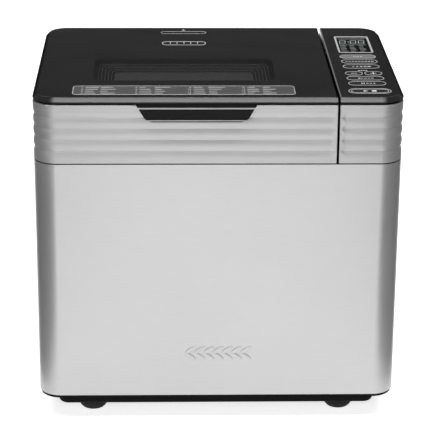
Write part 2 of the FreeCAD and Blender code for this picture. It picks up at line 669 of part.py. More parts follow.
def power_board():
    """Upright supply board with its relay, transformer, capacitor and terminal block."""
    x, y0, z0 = X1 - SHEET - 8, 46.0, 96.0
    board = box(x, x + BOARD_T, y0, y0 + 66, z0, z0 + 110)
    relay = box(x - 16, x, y0 + 6, y0 + 34, z0 + 8, z0 + 30)
    transformer = box(x - 26, x, y0 + 34, y0 + 62, z0 + 40, z0 + 74)
    capacitor = rod_x(8.0, x - 24, x, y0 + 16, z0 + 60)
    terminals = box(x - 12, x, y0 + 4, y0 + 60, z0 + 88, z0 + 100)
    fuse = rod_x(4.0, x - 13, x, y0 + 48, z0 + 20)
    return join(board, relay, transformer, capacitor, terminals, fuse)


# ---------------------------------------------------------------- ribs and bands

def rib_profile():
    """Face between the band's outer plane and its scalloped surface: x is outward and z is height."""
    radius = (RIB_PITCH ** 2 / 4 + RIB_DEPTH ** 2) / (2 * RIB_DEPTH)
    crest = -RIB_SKIN
    notches = [BAND_Z1 - RIB_MARGIN - n * RIB_PITCH for n in range(GROOVES)]
    tops = [notches[0] + RIB_PITCH / 2] + [z - RIB_PITCH / 2 for z in notches]
    edges = []
    out_top, out_low = Vector(2, 0, tops[0]), Vector(2, 0, tops[-1])
    edges.append(line(out_top, Vector(crest, 0, tops[0])))

    def surface(z, middle):
        return Vector(crest - radius + math.sqrt(radius ** 2 - (z - middle) ** 2), 0, z)

    for upper, middle, lower in rib_spans(notches, tops):
        a, b = surface(upper, middle), surface(lower, middle)
        through = surface((upper + lower) / 2, middle)
        edges.append(Part.Arc(a, through, b).toShape())
    edges.append(line(Vector(crest, 0, tops[-1]), out_low))
    edges.append(line(out_low, out_top))
    return Part.Face(Part.Wire(edges))


def rib_spans(notches, tops):
    """Upper end, crest and lower end of each arc: half a scallop, the whole ones, then half a scallop."""
    spans = [(tops[0], tops[0], notches[0])]
    spans += [(a, (a + b) / 2, b) for a, b in zip(notches, notches[1:])]
    spans.append((notches[-1], tops[-1], tops[-1]))
    return spans


def rib_cutters(side):
    """Cutters for the front, the corner and the flank: side is -1 on the lid, 1 on the control section."""
    face = rib_profile()
    gap_edge = LID_X1 - RIB_END if side < 0 else CONTROL_X0 + RIB_END
    corner_x = side * (WIDTH / 2 - CORNER_R)
    rear_end = Y1 - CORNER_R - RIB_END
    up = Vector(0, 0, 1)

    def at_front(x):
        f = face.copy()
        f.rotate(Vector(0, 0, 0), up, -90)
        return f.translated(Vector(x, Y0, 0))

    def at_flank(y):
        f = face.copy()
        if side < 0:
            f.rotate(Vector(0, 0, 0), up, 180)
        return f.translated(Vector(side * WIDTH / 2, y, 0))

    front = at_front(gap_edge).extrude(Vector(corner_x - gap_edge, 0, 0))
    corner = at_front(corner_x).revolve(Vector(corner_x, Y0 + CORNER_R, 0), up, 90 * side)
    flank = at_flank(Y0 + CORNER_R).extrude(Vector(0, rear_end - Y0 - CORNER_R, 0))
    fade_front = at_front(gap_edge).revolve(Vector(gap_edge, Y0 - RUNOUT_R, 0), up, 90 * side)
    fade_rear = at_flank(rear_end).revolve(Vector(side * (WIDTH / 2 + RUNOUT_R), rear_end, 0), up, -90 * side)
    return [front, corner, flank, fade_front, fade_rear]


def grip_outline(y0, y1, grow=0.0):
    """Prism of the grip's front view: a wide top edge, slanting sides and rounded lower corners."""
    top, low = BAND_Z1, BAND_Z1 - GRIP_H - grow
    a, b = GRIP_TOP_W / 2 + grow, GRIP_FLAT_W / 2 + 7.0
    points = [(-a, top + 3), (a, top + 3), (a, top), (b, low), (-b, low), (-a, top)]
    face = Part.Face(Part.makePolygon([Vector(GRIP_X + x, y0, z) for x, z in points + points[:1]]))
    prism = face.extrude(Vector(0, y1 - y0, 0))
    corners = edges_at(prism, lambda p: near(p.z, low) and near(abs(p.x - GRIP_X), b))
    return prism.makeFillet(GRIP_R, corners)


def band(z0, z1):
    ring_wall = outline_wall(0, BAND_T, z0, z1)
    top = edges_at(ring_wall, lambda p: near(p.z, z1) and on_outline(p))
    low = edges_at(ring_wall, lambda p: near(p.z, z0) and on_outline(p))
    return ring_wall.makeFillet(EDGE_ROUND, top + low)


def on_outline(p):
    """Whether a point is on the casing's outer surface."""
    dx, dy = abs(p.x) - (WIDTH / 2 - CORNER_R), abs(p.y) - (DEPTH / 2 - CORNER_R)
    if dx > 0 and dy > 0:
        return abs(math.hypot(dx, dy) - CORNER_R) < 0.01
    return near(abs(p.x), WIDTH / 2) or near(abs(p.y), DEPTH / 2)


def lid_band():
    shape = lid_side(band(BAND_Z0, BAND_Z1))
    shape = shape.cut(rib_cutters(-1))
    return shape.cut(grip_outline(Y0 - 5, Y0 + BAND_T + 1, FIT))


def control_band():
    return control_side(band(BAND_Z0, BAND_Z1)).cut(rib_cutters(1))


# ---------------------------------------------------------------- covers

def top_cover():
    """Both covers as one plate, before it is parted at the gap."""
    plate = outline(0, COVER_Z0, HEIGHT)
    plate = plate.makeChamfer(CHAMFER, edges_at(plate, lambda p: near(p.z, HEIGHT)))
    return plate.makeFillet(EDGE_ROUND, edges_at(plate, lambda p: near(p.z, HEIGHT)))


def gap_bevel(x, side):
    """Wedge that bevels the cover's top edge beside the gap."""
    c = GAP_CHAMFER
    points = [Vector(x + side, Y0 - 1, HEIGHT + 1), Vector(x - side * (c + 1), Y0 - 1, HEIGHT + 1),
              Vector(x + side, Y0 - 1, HEIGHT - c - 1)]
    return Part.Face(Part.makePolygon(points + points[:1])).extrude(Vector(0, DEPTH + 2, 0))


def lid_top_cover():
    cover = lid_side(top_cover()).cut(gap_bevel(LID_X1, 1))
    seat = slab(WINDOW_W, WINDOW_D, WINDOW_R, HEIGHT - GLASS_T, HEIGHT + 1, LID_CX, WINDOW_Y)
    sight = slab(WINDOW_W - 2 * LEDGE, WINDOW_D - 2 * LEDGE, WINDOW_R - LEDGE,
                 COVER_Z0 - 1, HEIGHT, LID_CX, WINDOW_Y)
    return cover.cut([seat, sight])


def viewing_window():
    return slab(WINDOW_W - FIT, WINDOW_D - FIT, WINDOW_R, HEIGHT - GLASS_T, HEIGHT, LID_CX, WINDOW_Y)


def window_steps():
    """Stepped reveal that narrows from the outer glass down to the inner one."""
    frame = slab(STEP_FRAME_W, STEP_FRAME_D, WINDOW_R, STEP_FRAME_Z0, COVER_Z0, LID_CX, WINDOW_Y)
    cuts = []
    for n in range(STEPS):
        w = WINDOW_W - 2 * LEDGE - 2 * n * STEP_W
        d = WINDOW_D - 2 * LEDGE - 2 * n * STEP_W
        cuts.append(slab(w, d, 6.0, COVER_Z0 - (n + 1) * STEP_H, COVER_Z0 + 1, LID_CX, WINDOW_Y))
    cuts.append(slab(SIGHT_W, SIGHT_D, 5.0, STEP_FRAME_Z0 - 1, COVER_Z0 + 1, LID_CX, WINDOW_Y))
    return frame.cut(cuts)


def inner_window():
    return slab(SIGHT_W + 24, SIGHT_D + 16, 8.0, INNER_GLASS_Z0, STEP_FRAME_Z0, LID_CX, WINDOW_Y)


def lid_frame():
    """Black moulding inside the band: four walls and a top plate with a hole for the window."""
    inset = BAND_T
    shell = lid_side(outline(inset, BAND_Z0 + 0.5, COVER_Z0))
    inner = outline(inset + WALL, BAND_Z0 - 1, PLATE_Z0).common(box(X0, LID_X1 - WALL, Y0, Y1, 0, PLATE_Z0))
    hole = slab(STEP_FRAME_W + 2 * FIT, STEP_FRAME_D + 2 * FIT, WINDOW_R, PLATE_Z0 - 1, COVER_Z0 + 1,
                LID_CX, WINDOW_Y)
    shell = shell.cut([inner, hole, grip_outline(Y0 - 5, Y0 + BAND_T + 1.2, FIT)])
    bosses = [rod(4.0, LINER_Z0 + LINER_T, PLATE_Z0 + 0.5, x, y) for x, y in lid_screw_places()]
    shell = join(shell, *bosses)
    return shell.cut([rod(1.5, LINER_Z0, LINER_Z0 + 12, x, y) for x, y in lid_screw_places()])


def lid_screw_places():
    dx, dy = DOME_W / 2 + 7.5, DOME_D / 2 - 20
    return [(LID_CX + sx * dx, sy * dy) for sx in (-1, 1) for sy in (-1, 1)]


def lid_liner():
    """Bright dish over the chamber, with a flange that closes the lid's underside."""
    flange = lid_side(outline(BAND_T + WALL + FIT, LINER_Z0, LINER_Z0 + LINER_T))
    flange = flange.common(box(X0, LID_X1 - WALL - FIT, Y0, Y1, 0, HEIGHT))
    dome = slab(DOME_W + 2 * LINER_T, DOME_D + 2 * LINER_T, CHAMBER_R + 9, LINER_Z0, DOME_Z1, LID_CX)
    dome = dome.makeFillet(9.0, edges_at(dome, lambda p: near(p.z, DOME_Z1)))
    inside = slab(DOME_W, DOME_D, CHAMBER_R + 8, LINER_Z0 - 1, DOME_Z1 - LINER_T, LID_CX)
    inside = inside.makeFillet(8.0, edges_at(inside, lambda p: near(p.z, DOME_Z1 - LINER_T)))
    sight = slab(SIGHT_W + 4, SIGHT_D + 4, 7.0, DOME_Z1 - 5, DOME_Z1 + 1, LID_CX, WINDOW_Y)
    holes = [rod(1.7, LINER_Z0 - 1, LINER_Z0 + 3, x, y) for x, y in lid_screw_places()]
    for n in range(-4, 5):
        holes.append(slab(8.0, 3.0, 1.5, DOME_Z1 - 5, DOME_Z1 + 1, LID_CX + n * 14.0, DOME_D / 2 - 26))
    return join(flange, dome).cut(inside).cut([sight] + holes)


def lid_gasket():
    """Silicone seal under the liner's flange, just outside the collar."""
    w, d = DOME_W + 14, DOME_D + 6
    return ring(w, d, CHAMBER_R + 11, 2.5, CASING_Z1 + MOVE_GAP, LINER_Z0, LID_CX)


def lid_screws():
    out = []
    for x, y in lid_screw_places():
        s = screw(9.0, head_r=2.8, head_h=1.4, r=1.45)
        s.rotate(Vector(0, 0, 0), Vector(1, 0, 0), 180)
        out.append(moved(s, x, y, LINER_Z0))
    return Part.makeCompound(out)


def grip_cutter(points, width):
    """Prism across the grip, width long, from its (y, z) section."""
    section = [Vector(GRIP_X - width / 2, y, z) for y, z in points + points[:1]]
    return Part.Face(Part.makePolygon(section)).extrude(Vector(width, 0, 0))


def lid_handle():
    """Grip lip: slopes forward from under the cover to a rounded edge, hollow beneath for the fingers."""
    tip_y = Y0 - GRIP_REACH
    low = BAND_Z1 - GRIP_H
    lip_top = low + GRIP_LIP
    above, behind, root = BAND_Z1 + 8, Y0 + BAND_T + 1, COVER_Z0 - 0.4
    ridge_y, ridge_z = Y0 - GRIP_RIDGE_OUT, BAND_Z1 - GRIP_RIDGE_DROP
    slope = [(behind, above), (tip_y - 1, above), (tip_y - 1, lip_top), (tip_y, lip_top), (ridge_y, ridge_z),
             (ridge_y, ridge_z + GRIP_RIDGE_H), (Y0, BAND_Z1), (Y0, root), (behind, root)]
    fingers = [(Y0 - 1.6, low - 1), (tip_y + GRIP_SKIN, low - 1), (tip_y + GRIP_SKIN, low + 1.0),
               (Y0 - 1.6, low + GRIP_H - GRIP_SKIN - 3.4)]
    body = grip_outline(tip_y, Y0 + BAND_T)
    body = body.cut(grip_cutter(slope, 180.0)).cut(grip_cutter(fingers, GRIP_FLAT_W - 4))
    return body.makeFillet(GRIP_ROUND, edges_at(body, lambda p: near(p.y, tip_y) and near(p.z, lip_top)))


# ---------------------------------------------------------------- control section

def control_frame():
    walls = control_side(outline(BAND_T, CASING_Z1, COVER_Z0))
    inner = outline(BAND_T + WALL, CASING_Z1 - 1, COVER_Z0 + 1).common(
        box(CONTROL_X0 + WALL, X1, Y0, Y1, 0, HEIGHT))
    return walls.cut(inner)


def key_list():
    """Name, centre and size of every key."""
    half = HALF_KEY_W / 2 + 0.7
    keys = [(n, PANEL_X, KEY_ROWS[n], KEY_W, KEY_D) for n in ("menu", "crust", "loaf_size", "delay", "pause")]
    keys.append(("time_minus", PANEL_X - half, KEY_ROWS["time"], HALF_KEY_W, KEY_D))
    keys.append(("time_plus", PANEL_X + half, KEY_ROWS["time"], HALF_KEY_W, KEY_D))
    keys.append(("start_stop", PANEL_X, KEY_ROWS["start_stop"], START_W, START_D))
    return keys


def board_posts():
    between_keys = (KEY_ROWS["pause"] + KEY_ROWS["start_stop"]) / 2 + 0.75
    above_keys = (KEY_ROWS["menu"] + KEY_D / 2 + DISPLAY_Y - DISPLAY_D / 2) / 2 + 0.6
    return [(PANEL_X + sx * 19.0, y) for sx in (-1, 1) for y in (between_keys, above_keys, Y1 - 24.0)]


def control_panel():
    cover = control_side(top_cover()).cut(gap_bevel(CONTROL_X0, -1))
    cuts = [pill(w + 2 * MOVE_GAP, d + 2 * MOVE_GAP, COVER_Z0 - 1, HEIGHT + 1, x, y)
            for _, x, y, w, d in key_list()]
    cuts.append(slab(DISPLAY_W, DISPLAY_D, DISPLAY_R, COVER_Z0 - 1, HEIGHT + 1, PANEL_X, DISPLAY_Y))
    cover = cover.cut(cuts)
    posts = [rod(2.6, BOARD_Z1, COVER_Z0 + 0.5, x, y) for x, y in board_posts()]
    return join(cover, *posts)


def display_bezel():
    return ring(DISPLAY_W - FIT, DISPLAY_D - FIT, DISPLAY_R, BEZEL_W, COVER_Z0, HEIGHT + 0.2,
                PANEL_X, DISPLAY_Y)


def display_lens():
    w, d = DISPLAY_W - 2 * BEZEL_W - 2 * FIT, DISPLAY_D - 2 * BEZEL_W - 2 * FIT
    return slab(w, d, DISPLAY_R - 1, HEIGHT - LENS_T, HEIGHT, PANEL_X, DISPLAY_Y)


def display_module():
    w, d = DISPLAY_W - 2 * BEZEL_W - 2 * FIT, DISPLAY_D - 2 * BEZEL_W - 2 * FIT
    glass = slab(w, d, DISPLAY_R - 1, HEIGHT - LENS_T - 3.0, HEIGHT - LENS_T, PANEL_X, DISPLAY_Y)
    tray = slab(w - 2, d - 2, 1.0, BOARD_Z1, HEIGHT - LENS_T - 3.0, PANEL_X, DISPLAY_Y)
    return join(glass, tray)


def key(x, y, w, d):
    """Key cap with a retaining flange under the cover and a plunger down to its switch."""
    cap = pill(w, d, COVER_Z0 - 0.2, HEIGHT, x, y)
    cap = cap.makeFillet(0.4, edges_at(cap, lambda p: near(p.z, HEIGHT)))
    flange = pill(w + 2 * KEY_FLANGE, d + 2 * KEY_FLANGE, COVER_Z0 - 1.6, COVER_Z0 - 0.2, x, y)
    flange = flange.common(box(x - w / 2 - 0.45, x + w / 2 + 0.45, y - 50, y + 50, 0, HEIGHT))
    plunger = rod(2.2, BOARD_Z1 + SWITCH_H + KEY_TRAVEL + 0.1, COVER_Z0 - 1.0, x, y)
    return join(cap, flange, plunger)


def control_board():
    """Printed board with a tact switch under each key."""
    w, y0, y1 = CONTROL_W - 17, Y0 + 14, Y1 - 14
    board = box(PANEL_X - w / 2, PANEL_X + w / 2, y0, y1, BOARD_Z1 - BOARD_T, BOARD_Z1)
    parts = []
    for _, x, y, _, _ in key_list():
        parts.append(box(x - 3, x + 3, y - 3, y + 3, BOARD_Z1, BOARD_Z1 + SWITCH_H - 1.4))
        parts.append(rod(1.7, BOARD_Z1, BOARD_Z1 + SWITCH_H, x, y))
    under = BOARD_Z1 - BOARD_T
    parts.append(box(PANEL_X - 10, PANEL_X + 10, Y1 - 32, Y1 - 18, under - 7, under))
    parts.append(rod(6.0, under - 8, under, PANEL_X, 30.0))
    return join(board, *parts)


# ---------------------------------------------------------------- hinge

def knuckle(x0, x1):
    return rod_x(KNUCKLE_R, x0, x1, HINGE_Y, SEAM_Z)


def pin_bore(x0, x1):
    return rod_x(HINGE_PIN_R + RUN, x0 - 1, x1 + 1, HINGE_Y, SEAM_Z)


def hinge_brackets():
    """Body half of each hinge: a leaf on the rear panel and two knuckles."""
    out = []
    a, b = KNUCKLE_L / 2 + MOVE_GAP, KNUCKLE_L / 2 + MOVE_GAP + 10
    top = SEAM_Z - KNUCKLE_R
    for x in HINGE_XS:
        leaf = box(x - b, x + b, Y1, Y1 + LEAF_T, top - LEAF_H, top + 1.0)
        pieces = [leaf]
        for lo, hi in ((x - b, x - a), (x + a, x + b)):
            pieces += [knuckle(lo, hi), box(lo, hi, Y1, HINGE_Y, top - 3, SEAM_Z - 1.0)]
        out.append(join(*pieces).cut(pin_bore(x - b, x + b)))
    return Part.makeCompound(out)


def hinge_arms():
    """Lid half of each hinge: a leaf on the band's rear face and one knuckle."""
    out = []
    a = KNUCKLE_L / 2
    low = SEAM_Z + KNUCKLE_R
    for x in HINGE_XS:
        leaf = box(x - 14, x + 14, Y1, Y1 + LEAF_T, low + 0.6, low + LEAF_H)
        web = box(x - a, x + a, Y1, HINGE_Y - 1.0, SEAM_Z + 1.0, low + 3)
        out.append(join(leaf, web, knuckle(x - a, x + a)).cut(pin_bore(x - a, x + a)))
    return Part.makeCompound(out)


def hinge_pins():
    reach = KNUCKLE_L / 2 + MOVE_GAP + 11
    pins = []
    for x in HINGE_XS:
        pin = rod_x(HINGE_PIN_R, x - reach, x + reach, HINGE_Y, SEAM_Z)
        pins.append(join(pin, rod_x(HINGE_PIN_R + 1, x + reach - 1, x + reach, HINGE_Y, SEAM_Z)))
    return Part.makeCompound(pins)


# ---------------------------------------------------------------- pan

def pan_form(grow, z0, z1):
    """Tapered block: the pan's outside drawn in by -grow, between two heights."""
    def section(z):
        t = 1 - (z - PAN_FLOOR) / PAN_H
        w, d = PAN_W - 2 * PAN_TAPER * t + 2 * grow, PAN_D - 2 * PAN_TAPER * t + 2 * grow
        return rounded_wire(w, d, PAN_R + grow, z, LID_CX)
    return Part.makeLoft([section(z0), section(z1)], True, True)


def bread_pan():
    body = pan_form(0, PAN_FLOOR, RIM_Z1)
    rim = slab(PAN_W + 2 * RIM_W, PAN_D + 2 * RIM_W, PAN_R + RIM_W, RIM_Z1 - RIM_T, RIM_Z1, LID_CX)
    rim = rim.makeFillet(1.2, edges_at(rim, lambda p: near(p.z, RIM_Z1) or near(p.z, RIM_Z1 - RIM_T)))
    inside = pan_form(-PAN_T, PAN_FLOOR + PAN_T, RIM_Z1 + 1)
    return join(body, rim).cut([inside, rod(BOSS_R, PAN_FLOOR - 1, PAN_FLOOR + 5, LID_CX)])


def pan_foot():
    """Cast ring under the pan with the shaft's bearing in its middle."""
    z0, bore, boss_top = CHAMBER_FLOOR + MOVE_GAP, SHAFT_R + RUN, PAN_FLOOR + 10
    ring_solid = turned([(FOOT_CAVITY_R, z0), (FOOT_RING_R, z0), (FOOT_RING_R, PAN_FLOOR),
                         (BOSS_R, PAN_FLOOR), (BOSS_R, boss_top), (bore, boss_top),
                         (bore, PAN_FLOOR - 3), (FOOT_CAVITY_R, PAN_FLOOR - 3)])
    slots = [box(-6, 6, s * 33 - 8, s * 33 + 8, z0 - 1, z0 + 4) for s in (-1, 1)]
    return moved(ring_solid.cut(slots), LID_CX)


def pan_lugs():
    """Cast lugs on the short sides, bored for the bail's ends, with rivet heads."""
    form = pan_form(0, PAN_FLOOR, RIM_Z1)
    lugs = []
    for s in (-1, 1):
        inner, outer = PAN_W / 2 - 6, PAN_W / 2 + LUG_T
        lo, hi = sorted((LID_CX + s * inner, LID_CX + s * outer))
        top = min(PIVOT_Z + 8, RIM_Z1 - RIM_T)
        lug = box(lo, hi, -LUG_W / 2, LUG_W / 2, top - LUG_H, top).cut(form)
        lug = lug.cut(rod_x(BAIL_R + 2 * RUN, lo - 1, hi + 1, 0, PIVOT_Z))
        lo, hi = sorted((LID_CX + s * outer, LID_CX + s * (outer + 1.0)))
        rivets = [rod_x(2.5, lo, hi, y, top - LUG_H + 3.5) for y in (-6, 6)]
        lugs.append(join(lug, *rivets))
    return Part.makeCompound(lugs)


def pan_bail():
    """Wire handle, folded flat towards the rear."""
    small = 2 * BAIL_R + 0.5
    reach = PAN_W / 2 + LUG_T + 1.5 + small

    def at(x, y):
        return Vector(LID_CX + x, y, PIVOT_Z)

    inner = PAN_W / 2 + 3.0
    bend_x, bend_y = reach - BAIL_BEND, BAIL_L - BAIL_BEND
    tip, pivot_end, side_start = at(inner, 0), at(reach - small, 0), at(reach, small)
    side_end, cross_start = at(reach, bend_y), at(bend_x, BAIL_L)
    edges = [line(tip, pivot_end), arc(pivot_end, at(reach - small, small), side_start),
             line(side_start, side_end), arc(side_end, at(bend_x, bend_y), cross_start)]
    mirrored = [e.mirror(Vector(LID_CX, 0, 0), Vector(1, 0, 0)) for e in edges]
    cross = line(cross_start, at(-bend_x, BAIL_L))
    return sweep(Part.Wire(Part.__sortEdges__(edges + [cross] + mirrored)), BAIL_R)


def paddle_shaft():
    top = PAN_FLOOR + PADDLE_H
    shaft = rod(SHAFT_R, CHAMBER_FLOOR + 6.5, top, LID_CX)
    flat = box(LID_CX + SHAFT_R - 1.2, LID_CX + SHAFT_R + 1, -5, 5, PAN_FLOOR + 10.6, top + 1)
    return shaft.cut(flat)


def driven_coupling():
    z0 = CHAMBER_FLOOR + 6.5
    bar = slab(44.0, 10.0, 3.0, z0, z0 + 4.5, LID_CX)
    return bar.cut(rod(SHAFT_R, z0 - 1, z0 + 6, LID_CX))


def kneading_paddle():
    """Hub with one curved blade and a short tail, keyed to the shaft's flat."""
    z0, z1 = PAN_FLOOR + 11.0, PAN_FLOOR + 11.0 + PADDLE_H
    hub = Part.makeCone(12.0, 8.5, PADDLE_H, Vector(0, 0, z0))
    blade_y = -PADDLE_R * 0.55
    outer, inner = rod(PADDLE_R, z0, z1, 0, blade_y), rod(PADDLE_R - BLADE_T, z0 - 1, z1 + 1, 0, blade_y)
    curve = outer.cut(inner).common(box(0, PADDLE_R * 0.92, -4, PADDLE_R, z0, z1))
    corners = [Vector(12, -60, z1 + 1), Vector(60, -60, z1 + 1), Vector(60, -60, z0 + 9)]
    slope = Part.Face(Part.makePolygon(corners + corners[:1])).extrude(Vector(0, 120, 0))
    curve = curve.cut(slope).common(rod(PADDLE_R, z0, z1))
    bridge = box(0, 12, 15, 22.4, z0, z1 - 4)
    arm = box(-2.5, 4, 0, 20, z0, z1 - 4)
    tail = box(-20, 0, -2.5, 2.5, z0, z0 + 10)
    solid = join(hub, arm, bridge, curve, tail)
    bore = rod(SHAFT_R + RUN, z0 - 1, PAN_FLOOR + PADDLE_H + 1, 0, 0)
    key_flat = box(SHAFT_R - 1.2 + RUN, SHAFT_R + 1, -5, 5, z0 - 2, z1)
    return moved(solid.cut(bore.cut(key_flat)), LID_CX)


# ---------------------------------------------------------------- build

PARTS = [casing_wrap, base_tray, rubber_feet, rear_panel, cord_gland, casing_screws, top_deck,
         baking_chamber, heating_element, element_clips, thermistor_probe, heat_shield, pan_clips,
         chassis_plate, bearing_block, drive_bushes, drive_pulley, drive_shaft, drive_coupling,
         motor_frame, motor_rotor, motor_pulley, drive_belt, power_board, lid_band, control_band,
         lid_top_cover, viewing_window, window_steps, inner_window, lid_frame, lid_liner, lid_gasket,
         lid_screws, lid_handle, control_frame, control_panel, display_bezel, display_lens,
         display_module, control_board, hinge_brackets, hinge_arms, hinge_pins, bread_pan, pan_foot,
         pan_lugs, pan_bail, paddle_shaft, driven_coupling, kneading_paddle]


def main():
    os.makedirs("parts", exist_ok=True)
    shapes = {make.__name__: make() for make in PARTS}
    for name, x, y, w, d in key_list():
        shapes[name + "_key"] = key(x, y, w, d)
    for name, shape in shapes.items():
        if not shape.isValid() or not shape.Solids or shape.Volume <= 0:
            raise ValueError(f"{name} is not a valid solid")
        shape.exportStep(f"parts/{name}.step")
        b = shape.BoundBox
        print(f"{name}: {len(shape.Solids)} solid(s), {b.XLength:.1f} x {b.YLength:.1f} x {b.ZLength:.1f}, "
              f"volume {shape.Volume / 1000:.1f} cm3")


main()
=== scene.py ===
import json
import math

import bmesh
import bpy
from mathutils import Matrix, Vector


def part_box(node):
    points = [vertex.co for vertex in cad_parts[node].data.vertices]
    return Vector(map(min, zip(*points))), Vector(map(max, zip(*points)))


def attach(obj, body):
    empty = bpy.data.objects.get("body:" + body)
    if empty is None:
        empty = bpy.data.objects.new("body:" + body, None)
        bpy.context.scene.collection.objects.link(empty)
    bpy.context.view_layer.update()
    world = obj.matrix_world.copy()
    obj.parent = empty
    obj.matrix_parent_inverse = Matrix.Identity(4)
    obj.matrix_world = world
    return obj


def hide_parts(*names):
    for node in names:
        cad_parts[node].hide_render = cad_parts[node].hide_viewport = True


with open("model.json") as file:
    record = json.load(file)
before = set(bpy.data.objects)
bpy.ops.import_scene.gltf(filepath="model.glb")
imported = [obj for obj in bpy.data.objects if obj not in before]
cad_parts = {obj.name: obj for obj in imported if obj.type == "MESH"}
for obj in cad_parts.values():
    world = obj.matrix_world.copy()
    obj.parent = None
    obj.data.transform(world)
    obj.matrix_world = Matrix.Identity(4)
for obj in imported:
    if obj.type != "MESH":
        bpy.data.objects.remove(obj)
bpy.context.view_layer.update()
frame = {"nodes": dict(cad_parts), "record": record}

RECORD = frame["record"]
SLOT = {s["node"]: s["material_slot"] for s in RECORD["subparts"]}
BODY = {n: body for body, nodes in RECORD["behaviour"]["bodies"].items() for n in nodes}
MM = 0.001
SIGN_X = -31 * MM          # middle of the signs on the lid and of the ear on the front
STEPS, STEP_W, STEP_H = 6, 3.2 * MM, 0.7 * MM          # reveal under the window
PROUD = 0.06 * MM          # how far print stands out of its surface


# ---------------------------------------------------------------- shader maths

class Value:
    """A shader socket whose arithmetic adds Math nodes."""

    def __init__(self, finish, socket):
        self.finish, self.socket = finish, socket

    def math(self, operation, *values):
        return self.finish.node("ShaderNodeMath", {"operation": operation}, dict(enumerate(values)))

    def __add__(self, other):
        return self.math("ADD", self, other)

    def __radd__(self, other):
        return self.math("ADD", other, self)

    def __sub__(self, other):
        return self.math("SUBTRACT", self, other)

    def __rsub__(self, other):
        return self.math("SUBTRACT", other, self)

    def __mul__(self, other):
        return self.math("MULTIPLY", self, other)

    def __rmul__(self, other):
        return self.math("MULTIPLY", other, self)

    def __gt__(self, other):
        return self.math("GREATER_THAN", self, other)

    def __lt__(self, other):
        return self.math("LESS_THAN", self, other)

    def clamped(self):
        return self.math("MINIMUM", self.math("MAXIMUM", self, 0.0), 1.0)


class Finish:
    """One material: its shader's fixed sockets are set directly, and what varies is linked."""

    def __init__(self, name, **fixed):
        self.material = bpy.data.materials.new(name)
        self.material.use_nodes = True
        self.tree = self.material.node_tree
        self.shader = self.tree.nodes["Principled BSDF"]
        for socket, value in fixed.items():
            self.shader.inputs[socket.replace("_", " ")].default_value = value

    def node(self, kind, settings=None, values=None, out=0):
        made = self.tree.nodes.new(kind)
        for key, value in (settings or {}).items():
            setattr(made, key, value)
        for key, value in (values or {}).items():
            if isinstance(value, Value):
                self.tree.links.new(value.socket, made.inputs[key])
            else:
                made.inputs[key].default_value = value
        return Value(self, made.outputs[out])

    def link(self, socket, value):
        self.tree.links.new(value.socket, self.shader.inputs[socket])

    def place(self, scale=(1, 1, 1), turn=(0, 0, 0)):
        """Object coordinates, stretched and turned."""
        coords = self.node("ShaderNodeTexCoord", out="Object")
        return self.node("ShaderNodeMapping", None, {"Vector": coords, "Scale": scale, "Rotation": turn})

    def noise(self, scale, detail=3.0, stretch=(1, 1, 1)):
        values = {"Vector": self.place(stretch), "Scale": scale, "Detail": detail}
        return self.node("ShaderNodeTexNoise", None, values)

    def axis(self, name):
        coords = self.node("ShaderNodeTexCoord", out="Object")
        return self.node("ShaderNodeSeparateXYZ", None, {"Vector": coords}, out=name)

    def colour(self, amount, low, high):
        ends = {0: amount, 6: (*low, 1), 7: (*high, 1)}
        mixed = self.node("ShaderNodeMix", {"data_type": "RGBA"}, ends, out=2)
        self.link("Base Color", mixed)
        return mixed

    def rough(self, value):
        self.link("Roughness", value)

    def bump(self, height, depth, strength=1.0):
        values = {"Height": height, "Distance": depth, "Strength": strength}
        self.link("Normal", self.node("ShaderNodeBump", None, values))


# ---------------------------------------------------------------- finishes

def grey(value):
    return (value, value, value)


def brushed(name, low, high, base_rough, stretch=(10, 10, 900), depth=0.00001):
    """Metal with fine straight grain, slow clouding, and a little wear."""
    f = Finish(name, Metallic=1.0)
    grain = f.noise(8.0, 2.0, stretch)
    cloud = f.noise(9.0, 3.0)
    f.colour((grain * 0.55 + cloud * 0.45).clamped(), low, high)
    f.rough(grain * 0.10 + cloud * 0.10 + (base_rough - 0.10))
    f.bump(grain, depth, 0.35)
    return f


def moulded(name, low, high, base_rough, pebble=1400.0, depth=0.00002, **fixed):
    """Moulded plastic or rubber with a fine spark-eroded grain."""
    f = Finish(name, **fixed)
    grain = f.noise(pebble, 2.0)
    cloud = f.noise(22.0, 3.0)
    f.colour((grain * 0.3 + cloud * 0.7).clamped(), low, high)
    f.rough(grain * 0.12 + cloud * 0.08 + (base_rough - 0.10))
    f.bump(grain, depth, 0.4)
    return f


def glossy(name, low, high, base_rough, **fixed):
    """Polished black plastic with faint wiping marks."""
    f = Finish(name, **fixed)
    smear = f.noise(16.0, 4.0, (1, 2.4, 1))
    dust = f.noise(2600.0, 1.0)
    f.colour(smear.clamped(), low, high)
    f.rough(smear * 0.06 + dust * 0.03 + (base_rough - 0.045))
    f.bump(smear, 0.00001, 0.12)
    return f


def smoked(name, low, high, alpha, base_rough=0.06, gleam=0.42):
    """Tinted pane: darkens what is behind it and keeps a sharp reflection."""
    f = Finish(name, Specular_IOR_Level=gleam)
    smear = f.noise(14.0, 3.0)
    f.colour(smear.clamped(), low, high)
    f.rough(smear * 0.05 + (base_rough - 0.02))
    f.link("Alpha", smear * 0.04 + (alpha - 0.02))
    return f


def heated(name):
    """Element sheath, straw to blue-black from its heat."""
    return brushed(name, (0.05, 0.045, 0.045), (0.26, 0.19, 0.14), 0.42, (1, 1, 1))


def non_stick(name):
    """Dark pan coating with fine pale specks."""
    f = Finish(name, Coat_Weight=0.15, Coat_Roughness=0.3)
    speck = f.noise(1500.0, 2.0) > 0.63
    haze = f.noise(30.0, 3.0)
    f.colour((speck * 0.45 + haze * 0.3).clamped(), (0.028, 0.028, 0.03), (0.17, 0.17, 0.175))
    f.rough(haze * 0.15 + 0.32)
    f.bump(speck, 0.00001, 0.3)
    return f


